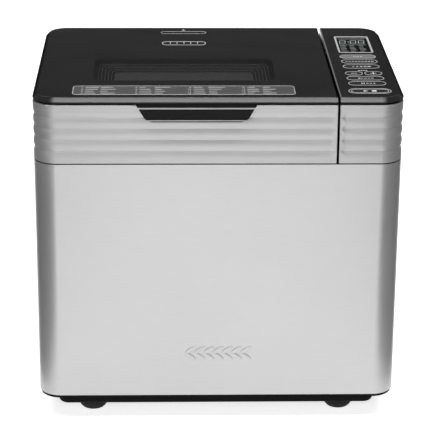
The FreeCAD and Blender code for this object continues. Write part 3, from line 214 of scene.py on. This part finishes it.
def laminated(name):
    """Stacked steel sheets, seen on edge."""
    f = Finish(name, Metallic=0.8)
    height = f.axis("Z") * 2000.0
    layer = height.math("FRACT", height)
    rust = f.noise(60.0, 4.0)
    f.colour((layer * 0.5 + rust * 0.5).clamped(), (0.10, 0.10, 0.11), (0.34, 0.33, 0.33))
    f.rough(rust * 0.2 + 0.4)
    f.bump(layer, 0.00004, 0.5)
    return f


def grip_black(name):
    """Black grip with painted highlights: its ridge and lower edge are painted lighter."""
    f = Finish(name, Specular_IOR_Level=0.06)
    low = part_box("lid_handle")[0].z
    height = f.axis("Z")
    ridge = (height > low + 10.1 * MM) * (height < low + 11.5 * MM)
    lower_edge = (height > low + 0.9 * MM) * (height < low + 1.9 * MM)
    mottle = f.noise(40.0, 3.0)
    # painted highlight: bands along the ridge and the lower edge are lighter to stand in for light caught on
    # those edges
    painted_highlight = (ridge * 0.95 + lower_edge * 0.8) * (mottle * 0.5 + 0.7)
    f.colour(painted_highlight.clamped(), grey(0.005), grey(0.42))
    f.rough(mottle * 0.10 + 0.38)
    f.bump(f.noise(1200.0, 2.0), 0.00001, 0.3)
    return f


def circuit(name):
    """Lacquered green board with copper tracks under it."""
    f = Finish(name, Coat_Weight=0.3)
    upright = f.place((1, 1, 1), (0, math.pi / 2, 0))
    track = f.node("ShaderNodeTexBrick", None, {"Vector": upright, "Scale": 180.0}, out=1)
    f.colour(track, (0.012, 0.10, 0.035), (0.03, 0.19, 0.06))
    f.rough(track * 0.15 + 0.3)
    return f


FINISH = {
    "steel": brushed("satin_steel", grey(0.37), grey(0.53), 0.40),
    "rib_steel": brushed("satin_ribs", grey(0.37), grey(0.51), 0.52),
    "gloss_black": glossy("polished_black", grey(0.006), grey(0.010), 0.13, Specular_IOR_Level=0.42),
    "smoked_glass": smoked("smoked_pane", grey(0.02), grey(0.03), 0.45),
    "clear_glass": smoked("clear_pane", (0.22, 0.23, 0.23), (0.30, 0.31, 0.31), 0.30),
    "display_pane": smoked("display_pane", grey(0.008), grey(0.014), 0.16, 0.06, 0.12),
    # painted sheen: the inner pane's pale grey colour stands in for light reflected in the glass
    "inner_pane": smoked("heat_resisting_pane", grey(0.36), grey(0.44), 0.80),
    "black_plastic": moulded("grained_black", grey(0.003), grey(0.007), 0.5, Specular_IOR_Level=0.05),
    "rubber": moulded("foot_rubber", grey(0.008), grey(0.015), 0.75, 700.0, Specular_IOR_Level=0.2),
    "silicone": moulded("grey_silicone", (0.20, 0.20, 0.21), (0.27, 0.27, 0.28), 0.6, 500.0),
    "zinc_screws": brushed("plated_screw", (0.48, 0.48, 0.47), (0.66, 0.66, 0.64), 0.3, (60, 60, 60)),
    "sheet_steel": brushed("rolled_sheet", (0.42, 0.43, 0.44), (0.60, 0.61, 0.62), 0.4, (300, 8, 8)),
    "aluminium": brushed("drawn_aluminium", grey(0.58), (0.74, 0.74, 0.73), 0.38, (6, 6, 240)),
    "nonstick": non_stick("speckled_coating"),
    "bail_steel": brushed("bright_wire", (0.60, 0.60, 0.61), grey(0.78), 0.2, (40, 40, 40)),
    "element": heated("heated_sheath"),
    "bronze": brushed("sintered_bronze", (0.40, 0.26, 0.12), (0.58, 0.40, 0.20), 0.45, (90, 90, 90)),
    "moulded_grey": moulded("grey_nylon", grey(0.16), grey(0.23), 0.5, 500.0),
    "motor_steel": laminated("stacked_laminations"),
    "circuit": circuit("green_board"),
    "display": moulded("display_black", (0.010, 0.011, 0.011), (0.018, 0.019, 0.019), 0.5, 300.0, 0.000005,
                       Specular_IOR_Level=0.0),
    "bezel": moulded("bezel_silver", grey(0.52), grey(0.62), 0.35, 900.0, 0.000004),
    "key": glossy("key_black", grey(0.008), grey(0.013), 0.2, Specular_IOR_Level=0.4),
    "paint": moulded("printed_grey", grey(0.72), grey(0.82), 0.45, 900.0, 0.000004),
    "ink": moulded("display_figures", (0.62, 0.64, 0.64), (0.74, 0.76, 0.76), 0.45, 900.0, 0.000004),
    # painted highlight: light grey lines on the edges of the window's steps
    "step_line": moulded("reveal_edge", grey(0.30), grey(0.40), 0.4, 900.0, 0.000004),
    "plate": moulded("plate_grey", grey(0.030), grey(0.042), 0.32, 900.0, 0.000006),
    "grip_black": grip_black("grip_black"),
    "menu_grey": moulded("menu_key_grey", grey(0.12), grey(0.16), 0.4, 900.0, 0.000006),
}

# Nodes that are shown in another finish than their slot's.
SHOWN_FINISH = {"menu_key": "menu_grey", "inner_window": "inner_pane", "display_lens": "display_pane",
                "lid_handle": "grip_black", "lid_band": "rib_steel", "control_band": "rib_steel"}


# ---------------------------------------------------------------- pieces

def keep(obj, body, finish):
    """A finished piece: it takes its finish and rides on its body."""
    obj.data.materials.clear()
    obj.data.materials.append(FINISH[finish].material)
    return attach(obj, body)


def add(name, mesh):
    """A new object at the origin."""
    obj = bpy.data.objects.new(name, mesh)
    bpy.context.scene.collection.objects.link(obj)
    return obj


def soften(mesh, angle=32.0):
    """Merges a mesh's loose triangles, and shades it smooth except at its edges."""
    bm = bmesh.new()
    bm.from_mesh(mesh)
    bmesh.ops.remove_doubles(bm, verts=bm.verts, dist=1e-6)
    for face in bm.faces:
        face.smooth = True
    limit = math.radians(angle)
    for edge in bm.edges:
        edge.smooth = len(edge.link_faces) == 2 and edge.calc_face_angle(math.pi) < limit
    bm.to_mesh(mesh)
    bm.free()
    mesh.validate()


def finished_parts():
    """Each solid again, with its triangles merged, true shading and its own finish."""
    for node, source in frame["nodes"].items():
        mesh = source.data.copy()
        mesh.name = node
        mesh.normals_split_custom_set_from_vertices([(0, 0, 0)] * len(mesh.vertices))
        soften(mesh)
        piece = add(node + "_part", mesh)
        finish = SHOWN_FINISH.get(node, SLOT[node])
        normals = piece.modifiers.new("flat_faces_stay_flat", "WEIGHTED_NORMAL")
        normals.keep_sharp = True
        normals.weight = 100
        keep(piece, BODY[node], finish)
        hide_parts(node)


class Tree:
    """A geometry tree with named inputs."""

    def __init__(self, name):
        self.tree = bpy.data.node_groups.new(name, "GeometryNodeTree")
        self.tree.interface.new_socket("Geometry", in_out="OUTPUT", socket_type="NodeSocketGeometry")
        self.inputs = self.tree.nodes.new("NodeGroupInput")

    def input(self, name, kind, default):
        socket = self.tree.interface.new_socket(name, in_out="INPUT", socket_type="NodeSocket" + kind)
        if default is not None:
            socket.default_value = default
        return self.inputs.outputs[name]

    def node(self, kind, settings=None, values=None):
        made = self.tree.nodes.new(kind)
        for key, value in (settings or {}).items():
            setattr(made, key, value)
        for key, value in (values or {}).items():
            if isinstance(value, bpy.types.NodeSocket):
                self.tree.links.new(value, made.inputs[key])
            else:
                made.inputs[key].default_value = value
        return made

    def moved(self, geometry, **values):
        """The geometry after one Transform node."""
        return self.node("GeometryNodeTransform", None, {"Geometry": geometry, **values}).outputs[0]

    def end(self, geometry, material):
        """Realizes what the tree made, and gives it its material."""
        real = self.node("GeometryNodeRealizeInstances", None, {"Geometry": geometry})
        values = {"Geometry": real.outputs[0], "Material": material}
        painted = self.node("GeometryNodeSetMaterial", None, values)
        output = self.tree.nodes.new("NodeGroupOutput")
        self.tree.links.new(painted.outputs[0], output.inputs[0])
        return self.tree


def outline_tree():
    """A raised line round a rounded rectangle."""
    t = Tree("outline")
    width, depth = t.input("Width", "Float", 0.03), t.input("Depth", "Float", 0.01)
    radius, thick = t.input("Radius", "Float", 0.005), t.input("Line", "Float", 0.0004)
    centre, material = t.input("Centre", "Vector", (0, 0, 0)), t.input("Material", "Material", None)
    rectangle = t.node("GeometryNodeCurvePrimitiveQuadrilateral", None, {"Width": width, "Height": depth})
    rounded = t.node("GeometryNodeFilletCurve", {"mode": "POLY"},
                     {"Curve": rectangle.outputs[0], "Radius": radius, "Count": 10, "Limit Radius": True})
    section = t.node("GeometryNodeCurvePrimitiveQuadrilateral", None, {"Width": thick, "Height": thick})
    line = t.node("GeometryNodeCurveToMesh", None,
                  {"Curve": rounded.outputs[0], "Profile Curve": section.outputs[0]})
    return t.end(t.moved(line.outputs[0], Translation=centre), material)


def rows_tree():
    """Rows of short bars of uneven length that share a left edge."""
    t = Tree("rows")
    columns, rows = t.input("Columns", "Int", 4), t.input("Rows", "Int", 4)
    pitch_x, pitch_y = t.input("Column pitch", "Float", 0.05), t.input("Row pitch", "Float", 0.006)
    size, shortest = t.input("Bar size", "Vector", (0.02, 0.001, 0.0003)), t.input("Shortest", "Float", 0.5)
    seed, corner = t.input("Seed", "Int", 3), t.input("Corner", "Vector", (0, 0, 0))
    material = t.input("Material", "Material", None)

    def product(a, b):
        return t.node("ShaderNodeMath", {"operation": "MULTIPLY"}, {0: a, 1: b}).outputs[0]

    def less_one(a):
        return t.node("ShaderNodeMath", {"operation": "SUBTRACT"}, {0: a, 1: 1.0}).outputs[0]

    across, down = product(less_one(columns), pitch_x), product(less_one(rows), pitch_y)
    grid = t.node("GeometryNodeMeshGrid", None,
                  {"Size X": across, "Size Y": down, "Vertices X": columns, "Vertices Y": rows})
    half = t.node("ShaderNodeCombineXYZ", None, {"X": product(across, 0.5), "Y": product(down, 0.5)})
    cornered = t.moved(grid.outputs[0], Translation=half.outputs[0])
    block = t.node("GeometryNodeMeshCube", None, {"Size": (1, 1, 1)})
    sized = t.moved(t.moved(block.outputs[0], Translation=(0.5, 0, 0)), Scale=size)
    length = t.node("FunctionNodeRandomValue", {"data_type": "FLOAT"}, {"Seed": seed})
    t.tree.links.new(shortest, next(s for s in length.inputs if s.name == "Min" and s.type == "VALUE"))
    scale = t.node("ShaderNodeCombineXYZ", None, {"X": length.outputs[1], "Y": 1.0, "Z": 1.0})
    bars = t.node("GeometryNodeInstanceOnPoints", None,
                  {"Points": cornered, "Instance": sized, "Scale": scale.outputs[0]})
    return t.end(t.moved(bars.outputs[0], Translation=corner), material)


def ear_tree():
    """A raised ear of corn: paired grains along a stalk."""
    t = Tree("corn_ear")
    count, pitch = t.input("Grains", "Int", 6), t.input("Pitch", "Float", 0.008)
    grain, tilt = t.input("Grain size", "Vector", (0.005, 0.0006, 0.0018)), t.input("Tilt", "Float", 0.6)
    start, material = t.input("Start", "Vector", (0, 0, 0)), t.input("Material", "Material", None)
    step = t.node("ShaderNodeCombineXYZ", None, {"X": pitch})
    stalk = t.node("GeometryNodeMeshLine", None,
                   {"Count": count, "Start Location": start, "Offset": step.outputs[0]})
    ball = t.node("GeometryNodeMeshIcoSphere", None, {"Radius": 1.0, "Subdivisions": 3})
    sized = t.moved(t.moved(ball.outputs[0], Translation=(0.95, 0, 0)), Scale=grain)
    both = t.node("GeometryNodeJoinGeometry")
    for side in (-1.0, 1.0):
        lean = t.node("ShaderNodeMath", {"operation": "MULTIPLY"}, {0: tilt, 1: side})
        turn = t.node("ShaderNodeCombineXYZ", None, {"Y": lean.outputs[0]})
        grains = t.node("GeometryNodeInstanceOnPoints", None,
                        {"Points": stalk.outputs[0], "Instance": sized, "Rotation": turn.outputs[0]})
        t.tree.links.new(grains.outputs[0], both.inputs[0])
    return t.end(both.outputs[0], material)


def grow(name, tree, body, slot, finish, **values):
    """Runs a geometry tree and keeps its result as a plain mesh."""
    obj = add(name, bpy.data.meshes.new(name))
    modifier = obj.modifiers.new("made", "NODES")
    modifier.node_group = tree
    values["Material"] = FINISH[finish].material
    for item in tree.interface.items_tree:
        wanted = item.name.replace(" ", "_")
        if item.in_out == "INPUT" and wanted in values:
            modifier[item.identifier] = values[wanted]
    made = bpy.data.meshes.new_from_object(obj.evaluated_get(bpy.context.evaluated_depsgraph_get()))
    obj.modifiers.clear()
    obj.data = made
    return keep(obj, body, finish)


def solid(name, outlines, z0, z1, body, finish):
    """Flat shapes, given as (x, y) outlines in metres, raised from z0 to z1."""
    bm = bmesh.new()
    for points in outlines:
        low = [bm.verts.new((x, y, z0)) for x, y in points]
        high = [bm.verts.new((x, y, z1)) for x, y in points]
        bm.faces.new(high)
        bm.faces.new(low[::-1])
        for i in range(len(points)):
            j = (i + 1) % len(points)
            bm.faces.new((low[i], low[j], high[j], high[i]))
    bmesh.ops.recalc_face_normals(bm, faces=bm.faces)
    mesh = bpy.data.meshes.new(name)
    bm.to_mesh(mesh)
    bm.free()
    return keep(add(name, mesh), body, finish)


def bar(x, y, w, d):
    """Outline of a rectangle about its centre."""
    return [(x - w / 2, y - d / 2), (x + w / 2, y - d / 2), (x + w / 2, y + d / 2), (x - w / 2, y + d / 2)]


def round_plate(x, y, w, d, r, steps=8):
    """Outline of a rounded rectangle."""
    points = []
    for n, (sx, sy) in enumerate(((1, 1), (-1, 1), (-1, -1), (1, -1))):
        for k in range(steps + 1):
            a = math.pi / 2 * (n + k / steps)
            points.append((x + sx * (w / 2 - r) + r * math.cos(a), y + sy * (d / 2 - r) + r * math.sin(a)))
    return points


def disc(x, y, r, steps=20):
    """Outline of a round dot."""
    turns = [2 * math.pi * n / steps for n in range(steps)]
    return [(x + r * math.cos(a), y + r * math.sin(a)) for a in turns]


def segment_outlines(x, y, w, h, t, lean=0.08):
    """The seven bars of one display figure, all of them on, leaning a little."""
    out = []
    level = [(0, h / 2, False), (0, 0, False), (0, -h / 2, False)]
    standing = [(sx * w / 2, sy * h / 4, True) for sy in (1, -1) for sx in (-1, 1)]
    for cx, cy, upright in level + standing:
        half = (h / 4 if upright else w / 2) - t * 0.35
        tip = half - t / 2
        ends = [(-half, 0), (-tip, t / 2), (tip, t / 2), (half, 0), (tip, -t / 2), (-tip, -t / 2)]
        points = [(cx + (-b if upright else a), cy + (a if upright else b)) for a, b in ends]
        out.append([(x + px + lean * py, y + py) for px, py in points])
    return out


def number_mesh(name, entries, size, z, body, finish):
    """Numbers laid flat on a surface, as one mesh."""
    bm = bmesh.new()
    for text, x, y in entries:
        curve = bpy.data.curves.new(name, "FONT")
        curve.body, curve.size, curve.extrude, curve.align_x = text, size, 0.00008, "RIGHT"
        lettering = bpy.data.objects.new(name, curve)
        bpy.context.scene.collection.objects.link(lettering)
        bpy.context.view_layer.update()
        mesh = bpy.data.meshes.new_from_object(lettering)
        mesh.transform(Matrix.Translation((x, y, z)))
        bm.from_mesh(mesh)
        bpy.data.objects.remove(lettering)
    mesh = bpy.data.meshes.new(name)
    bm.to_mesh(mesh)
    bm.free()
    return keep(add(name, mesh), body, finish)


# ---------------------------------------------------------------- printed and raised marks

def middle(node):
    """A node's centre and its size."""
    low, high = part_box(node)
    return (low + high) / 2, high - low


def dashes(x, y, count, pitch, w, d, start=None):
    """A row of short bars, sizes in millimetres, centred on x or with its first bar's middle at start."""
    first = -(count - 1) * pitch / 2 if start is None else start
    return [bar(x + (first + n * pitch) * MM, y, w * MM, d * MM) for n in range(count)]


def menu_sign(x, y):
    return dashes(x, y, 3, 3.4, 2.6, 1.5)


def crust_sign(x, y):
    """Bars that grow thicker: light to dark crust."""
    return [bar(x + n * 3.2 * MM, y, 2.3 * MM, (1.1 + 0.1 * n) * MM) for n in range(-4, 5)]


def loaf_size_sign(x, y):
    """Loaves that grow larger."""
    return [round_plate(x + n * 3.9 * MM, y, (2.6 + 0.3 * n) * MM, (1.5 + 0.3 * n) * MM, 0.4 * MM)
            for n in range(-2, 3)]


def minus_sign(x, y):
    return [bar(x, y, 6 * MM, 0.9 * MM)]


def plus_sign(x, y):
    return minus_sign(x, y) + [bar(x, y + s * 1.75 * MM, 0.9 * MM, 2.6 * MM) for s in (1, -1)]


def delay_sign(x, y):
    return [disc(x - 6 * MM, y, 1.1 * MM)] + dashes(x, y, 4, 3.4, 2.4, 1.1, -3.4)


def pause_sign(x, y):
    return dashes(x, y, 2, 2.0, 1.0, 3.4, -5.0) + dashes(x, y, 3, 3.4, 2.4, 1.1, 0.0)


def start_stop_sign(x, y):
    """A triangle and a square."""
    triangle = [(x - 6 * MM, y - 2.4 * MM), (x - 1.6 * MM, y), (x - 6 * MM, y + 2.4 * MM)]
    return [triangle, bar(x + 4 * MM, y, 4.2 * MM, 4.2 * MM)]


KEY_SIGNS = {"menu_key": menu_sign, "crust_key": crust_sign, "loaf_size_key": loaf_size_sign,
             "time_minus_key": minus_sign, "time_plus_key": plus_sign, "delay_key": delay_sign,
             "pause_key": pause_sign, "start_stop_key": start_stop_sign}


def key_marks(outline):
    """The line round each key, and its sign."""
    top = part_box("menu_key")[1].z
    for node, sign in KEY_SIGNS.items():
        centre, size = middle(node)
        width, depth = size.x - 0.9 * MM, size.y - 2.4 * MM
        grow(node + "_line", outline, BODY[node], SLOT[node], "paint",
             Width=width - 0.9 * MM, Depth=depth - 0.9 * MM, Radius=depth / 2 - 0.5 * MM, Line=0.5 * MM,
             Centre=(centre.x, centre.y, top - 0.17 * MM))
        if node == "start_stop_key":
            grow(node + "_inner_line", outline, BODY[node], SLOT[node], "paint",
                 Width=width - 5.5 * MM, Depth=depth - 5.5 * MM, Radius=depth / 2 - 2.8 * MM, Line=0.4 * MM,
                 Centre=(centre.x, centre.y, top - 0.12 * MM))
        solid(node + "_sign", sign(centre.x, centre.y), top - 0.05 * MM, top + PROUD,
              BODY[node], "paint")


def time_label():
    """The small sign over the two time keys."""
    minus, _ = middle("time_minus_key")
    plus, _ = middle("time_plus_key")
    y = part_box("time_minus_key")[1].y + 1.6 * MM
    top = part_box("menu_key")[1].z
    solid("time_sign", dashes((minus.x + plus.x) / 2, y, 4, 2.4, 1.8, 1.6), top - 0.05 * MM, top + 0.05 * MM,
          "housing", "paint")


def display_marks(rows):
    """Figures and small signs on the display, just under its lens."""
    centre, size = middle("display_lens")
    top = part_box("display_module")[1].z
    under, over = top - 0.02 * MM, top + 0.05 * MM
    y = centre.y + 15.5 * MM
    outlines = []
    for offset in (-9.8, 1.2, 9.6):
        outlines += segment_outlines(centre.x + offset * MM, y, 5.6 * MM, 13 * MM, 0.9 * MM)
    outlines += [disc(centre.x - 3.8 * MM, y + s * 2.8 * MM, 0.8 * MM) for s in (-1, 1)]
    solid("display_figures", outlines, under, over, "housing", "ink")
    left, lowest = centre.x - 13.6 * MM, centre.y - size.y / 2
    grow("display_rows", rows, "housing", "display", "ink", Columns=3, Rows=6, Column_pitch=9.6 * MM,
         Row_pitch=5.2 * MM, Bar_size=(7.0 * MM, 0.9 * MM, 0.1 * MM), Shortest=0.55, Seed=5,
         Corner=(left, lowest + 5 * MM, over))
    grow("display_line", rows, "housing", "display", "ink", Columns=1, Rows=2, Column_pitch=9 * MM,
         Row_pitch=22 * MM, Bar_size=(27 * MM, 0.5 * MM, 0.1 * MM), Shortest=1.0, Seed=1,
         Corner=(left, lowest + 35 * MM, over))


def programme_plate(outline, rows, top, front):
    """Grey plate near the front, with numbered rows of bars."""
    x, y, w, d = -32.5 * MM, front + 26.8 * MM, 209 * MM, 28.4 * MM
    column, row, plate_top = 51 * MM, 6.4 * MM, top + PROUD
    solid("programme_plate", [round_plate(x, y, w, d, 4 * MM)], top - 0.2 * MM, plate_top,
          "lid", "plate")
    grow("programme_plate_line", outline, "lid", "gloss_black", "paint", Width=w, Depth=d, Radius=4 * MM,
         Line=0.5 * MM, Centre=(x, y, top - 0.1 * MM))
    left, lowest = x - w / 2 + 8 * MM, y - d / 2 + 4.4 * MM
    for n, (start, length) in enumerate(((3.5, 13.0), (18.0, 16.0))):
        grow("programme_names_" + str(n + 1), rows, "lid", "gloss_black", "paint", Columns=4, Rows=4,
             Column_pitch=column, Row_pitch=row, Bar_size=(length * MM, 1.0 * MM, 0.12 * MM),
             Shortest=0.35, Seed=11 + n, Corner=(left + start * MM, lowest, plate_top))
    entries = [(str(1 + c * 4 + (3 - r)), left + c * column + 1.4 * MM, lowest + r * row - 1.3 * MM)
               for c in range(4) for r in range(4)]
    number_mesh("programme_numbers", entries, 3.6 * MM, plate_top, "lid", "paint")


def rear_arrow(outline, top, front):
    """Pill-shaped line at the rear with a small arrow behind it."""
    x, y = SIGN_X, front + 251 * MM
    grow("rear_arrow_line", outline, "lid", "gloss_black", "paint", Width=47 * MM, Depth=9 * MM,
         Radius=4.4 * MM, Line=0.4 * MM, Centre=(x, front + 240.3 * MM, top - 0.1 * MM))
    arrow = [(x - 2 * MM, y - 1.5 * MM), (x + 2 * MM, y - 1.5 * MM), (x, y + 1.8 * MM)]
    solid("rear_arrow", [arrow], top - 0.1 * MM, top + PROUD, "lid", "paint")


def loaf_sign(outline, top, front):
    """A loaf seen from above, with its cuts."""
    y = front + 197 * MM
    grow("loaf_sign", outline, "lid", "gloss_black", "paint", Width=44 * MM, Depth=13 * MM, Radius=5 * MM,
         Line=0.7 * MM, Centre=(SIGN_X, y, top - 0.2 * MM))
    solid("loaf_sign_cuts", dashes(SIGN_X, y + 1.5 * MM, 5, 7.0, 0.8, 5.0), top - 0.1 * MM, top + PROUD,
          "lid", "paint")


def lid_marks(outline, rows):
    """The programme plate, the arrow at the rear and the small loaf sign on the lid."""
    low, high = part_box("lid_top_cover")
    programme_plate(outline, rows, high.z, low.y)
    rear_arrow(outline, high.z, low.y)
    loaf_sign(outline, high.z, low.y)


def window_lines(outline):
    """Painted highlight: a light grey line along the edge of each step in the window's reveal."""
    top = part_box("window_steps")[1].z
    centre, size = middle("window_steps")
    rim = 9.5 * MM
    for n in range(STEPS):
        inset = rim + n * STEP_W
        # painted highlight: each step's edge gets a light grey line where light would catch it
        grow("window_step_edge_" + str(n + 1), outline, "lid", "black_plastic", "step_line",
             Width=size.x - 2 * inset, Depth=size.y - 2 * inset, Radius=6 * MM, Line=0.5 * MM,
             Centre=(centre.x, centre.y, top - n * STEP_H - 0.1 * MM))


def front_ear(tree):
    """The small raised ear of corn on the casing's front."""
    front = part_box("casing_wrap")[0].y
    grow("front_ear", tree, "housing", "steel", "steel", Grains=7, Pitch=9.0 * MM,
         Grain_size=(6.4 * MM, 0.7 * MM, 2.5 * MM), Tilt=0.62, Start=(SIGN_X, front, 72.5 * MM))


# ---------------------------------------------------------------- setting

def camera():
    """Looks slightly down on the front, from a long way off."""
    yaw, pitch, roll = math.radians(1.73), math.radians(20.39), math.radians(0.48)
    ahead = Vector((math.sin(yaw) * math.cos(pitch), math.cos(yaw) * math.cos(pitch), -math.sin(pitch)))
    right = Vector((math.cos(yaw), -math.sin(yaw), 0))
    up = right.cross(ahead)
    turned_right = right * math.cos(roll) + up * math.sin(roll)
    turned_up = up * math.cos(roll) - right * math.sin(roll)
    data = bpy.data.cameras.new("camera")
    data.lens, data.sensor_width = 153.05, 36.0
    data.clip_end = 50
    made = bpy.data.objects.new("camera", data)
    bpy.context.scene.collection.objects.link(made)
    turn = Matrix((turned_right, turned_up, -ahead)).transposed().to_4x4()
    place = Vector((-0.04872, -1.80192, 0.83247))
    made.matrix_world = Matrix.Translation(place) @ turn
    bpy.context.scene.camera = made


def area_light(name, place, target, size, power):
    data = bpy.data.lights.new(name, "AREA")
    data.shape, data.size, data.size_y, data.energy = "RECTANGLE", size[0], size[1], power
    made = bpy.data.objects.new(name, data)
    bpy.context.scene.collection.objects.link(made)
    made.location = place
    made.rotation_euler = (Vector(target) - Vector(place)).to_track_quat("-Z", "Y").to_euler()


def plane(name, corners, finish):
    mesh = bpy.data.meshes.new(name)
    mesh.from_pydata(corners, [], [(0, 1, 2, 3)])
    obj = add(name, mesh)
    mesh.materials.append(finish.material)
    return obj


def flag(name, start, end, height, finish):
    """A standing card that darkens reflections and does nothing else."""
    (x0, y0), (x1, y1) = start, end
    card = plane(name, [(x0, y0, 0), (x1, y1, 0), (x1, y1, height), (x0, y0, height)], finish)
    card.visible_camera = card.visible_diffuse = card.visible_shadow = card.visible_transmission = False


def matt(name, low, high, **fixed):
    """Dull surface with the faintest mottling."""
    f = Finish(name, **fixed)
    f.colour(f.noise(3.0).clamped(), grey(low), grey(high))
    return f


def studio():
    floor = matt("pale_floor", 0.90, 0.92, Roughness=0.9, Specular_IOR_Level=0.1, Emission_Strength=0.76,
                 Emission_Color=(1, 1, 1, 1))
    plane("floor", [(-9, -9, 0), (9, -9, 0), (9, 9, 0), (-9, 9, 0)], floor)
    dark_flag = matt("dark_flag", 0.42, 0.46, Roughness=1.0, Specular_IOR_Level=0.0)
    black_flag = matt("black_flag", 0.010, 0.014, Roughness=1.0, Specular_IOR_Level=0.0)
    for side, hand in ((-1, "left"), (1, "right")):
        flag("side_flag_" + hand, (side * 0.25, -0.42), (side * 0.25, -0.02), 0.50, dark_flag)
        flag("rear_flag_" + hand, (side * 0.26, 1.0), (side * 1.1, 1.0), 0.55, black_flag)
    area_light("overhead", (0.1, 1.15, 2.6), (0, 0.2, 0.1), (3.2, 1.4), 26)
    area_light("edge_strip", (0.0, -0.98, 2.6), (0, -0.13, 0.33), (3.2, 0.3), 48)
    area_light("front", (-0.9, -3.4, 2.2), (0, 0, 0.15), (3.0, 1.6), 38)
    area_light("rear", (0.4, 3.6, 2.9), (0, 0.6, 0.0), (4.0, 1.6), 20)
    sky()


def sky():
    """Pale at the horizon and dim overhead, so that polished black stays black."""
    world = bpy.data.worlds.new("studio")
    bpy.context.scene.world = world
    world.use_nodes = True
    nodes, links = world.node_tree.nodes, world.node_tree.links
    coords, split = nodes.new("ShaderNodeTexCoord"), nodes.new("ShaderNodeSeparateXYZ")
    ramp = nodes.new("ShaderNodeValToRGB")
    links.new(coords.outputs["Generated"], split.inputs[0])
    links.new(split.outputs["Z"], ramp.inputs[0])
    for stop, height, shade in zip(ramp.color_ramp.elements, (0.06, 0.22), (0.9, 0.06)):
        stop.position = height
        stop.color = (*grey(shade), 1)
    links.new(ramp.outputs[0], nodes["Background"].inputs["Color"])
    nodes["Background"].inputs["Strength"].default_value = 1.0


def main():
    bpy.context.scene.view_settings.view_transform = "Standard"
    camera()
    studio()
    finished_parts()
    outline, rows = outline_tree(), rows_tree()
    key_marks(outline)
    time_label()
    display_marks(rows)
    lid_marks(outline, rows)
    window_lines(outline)
    front_ear(ear_tree())


main()
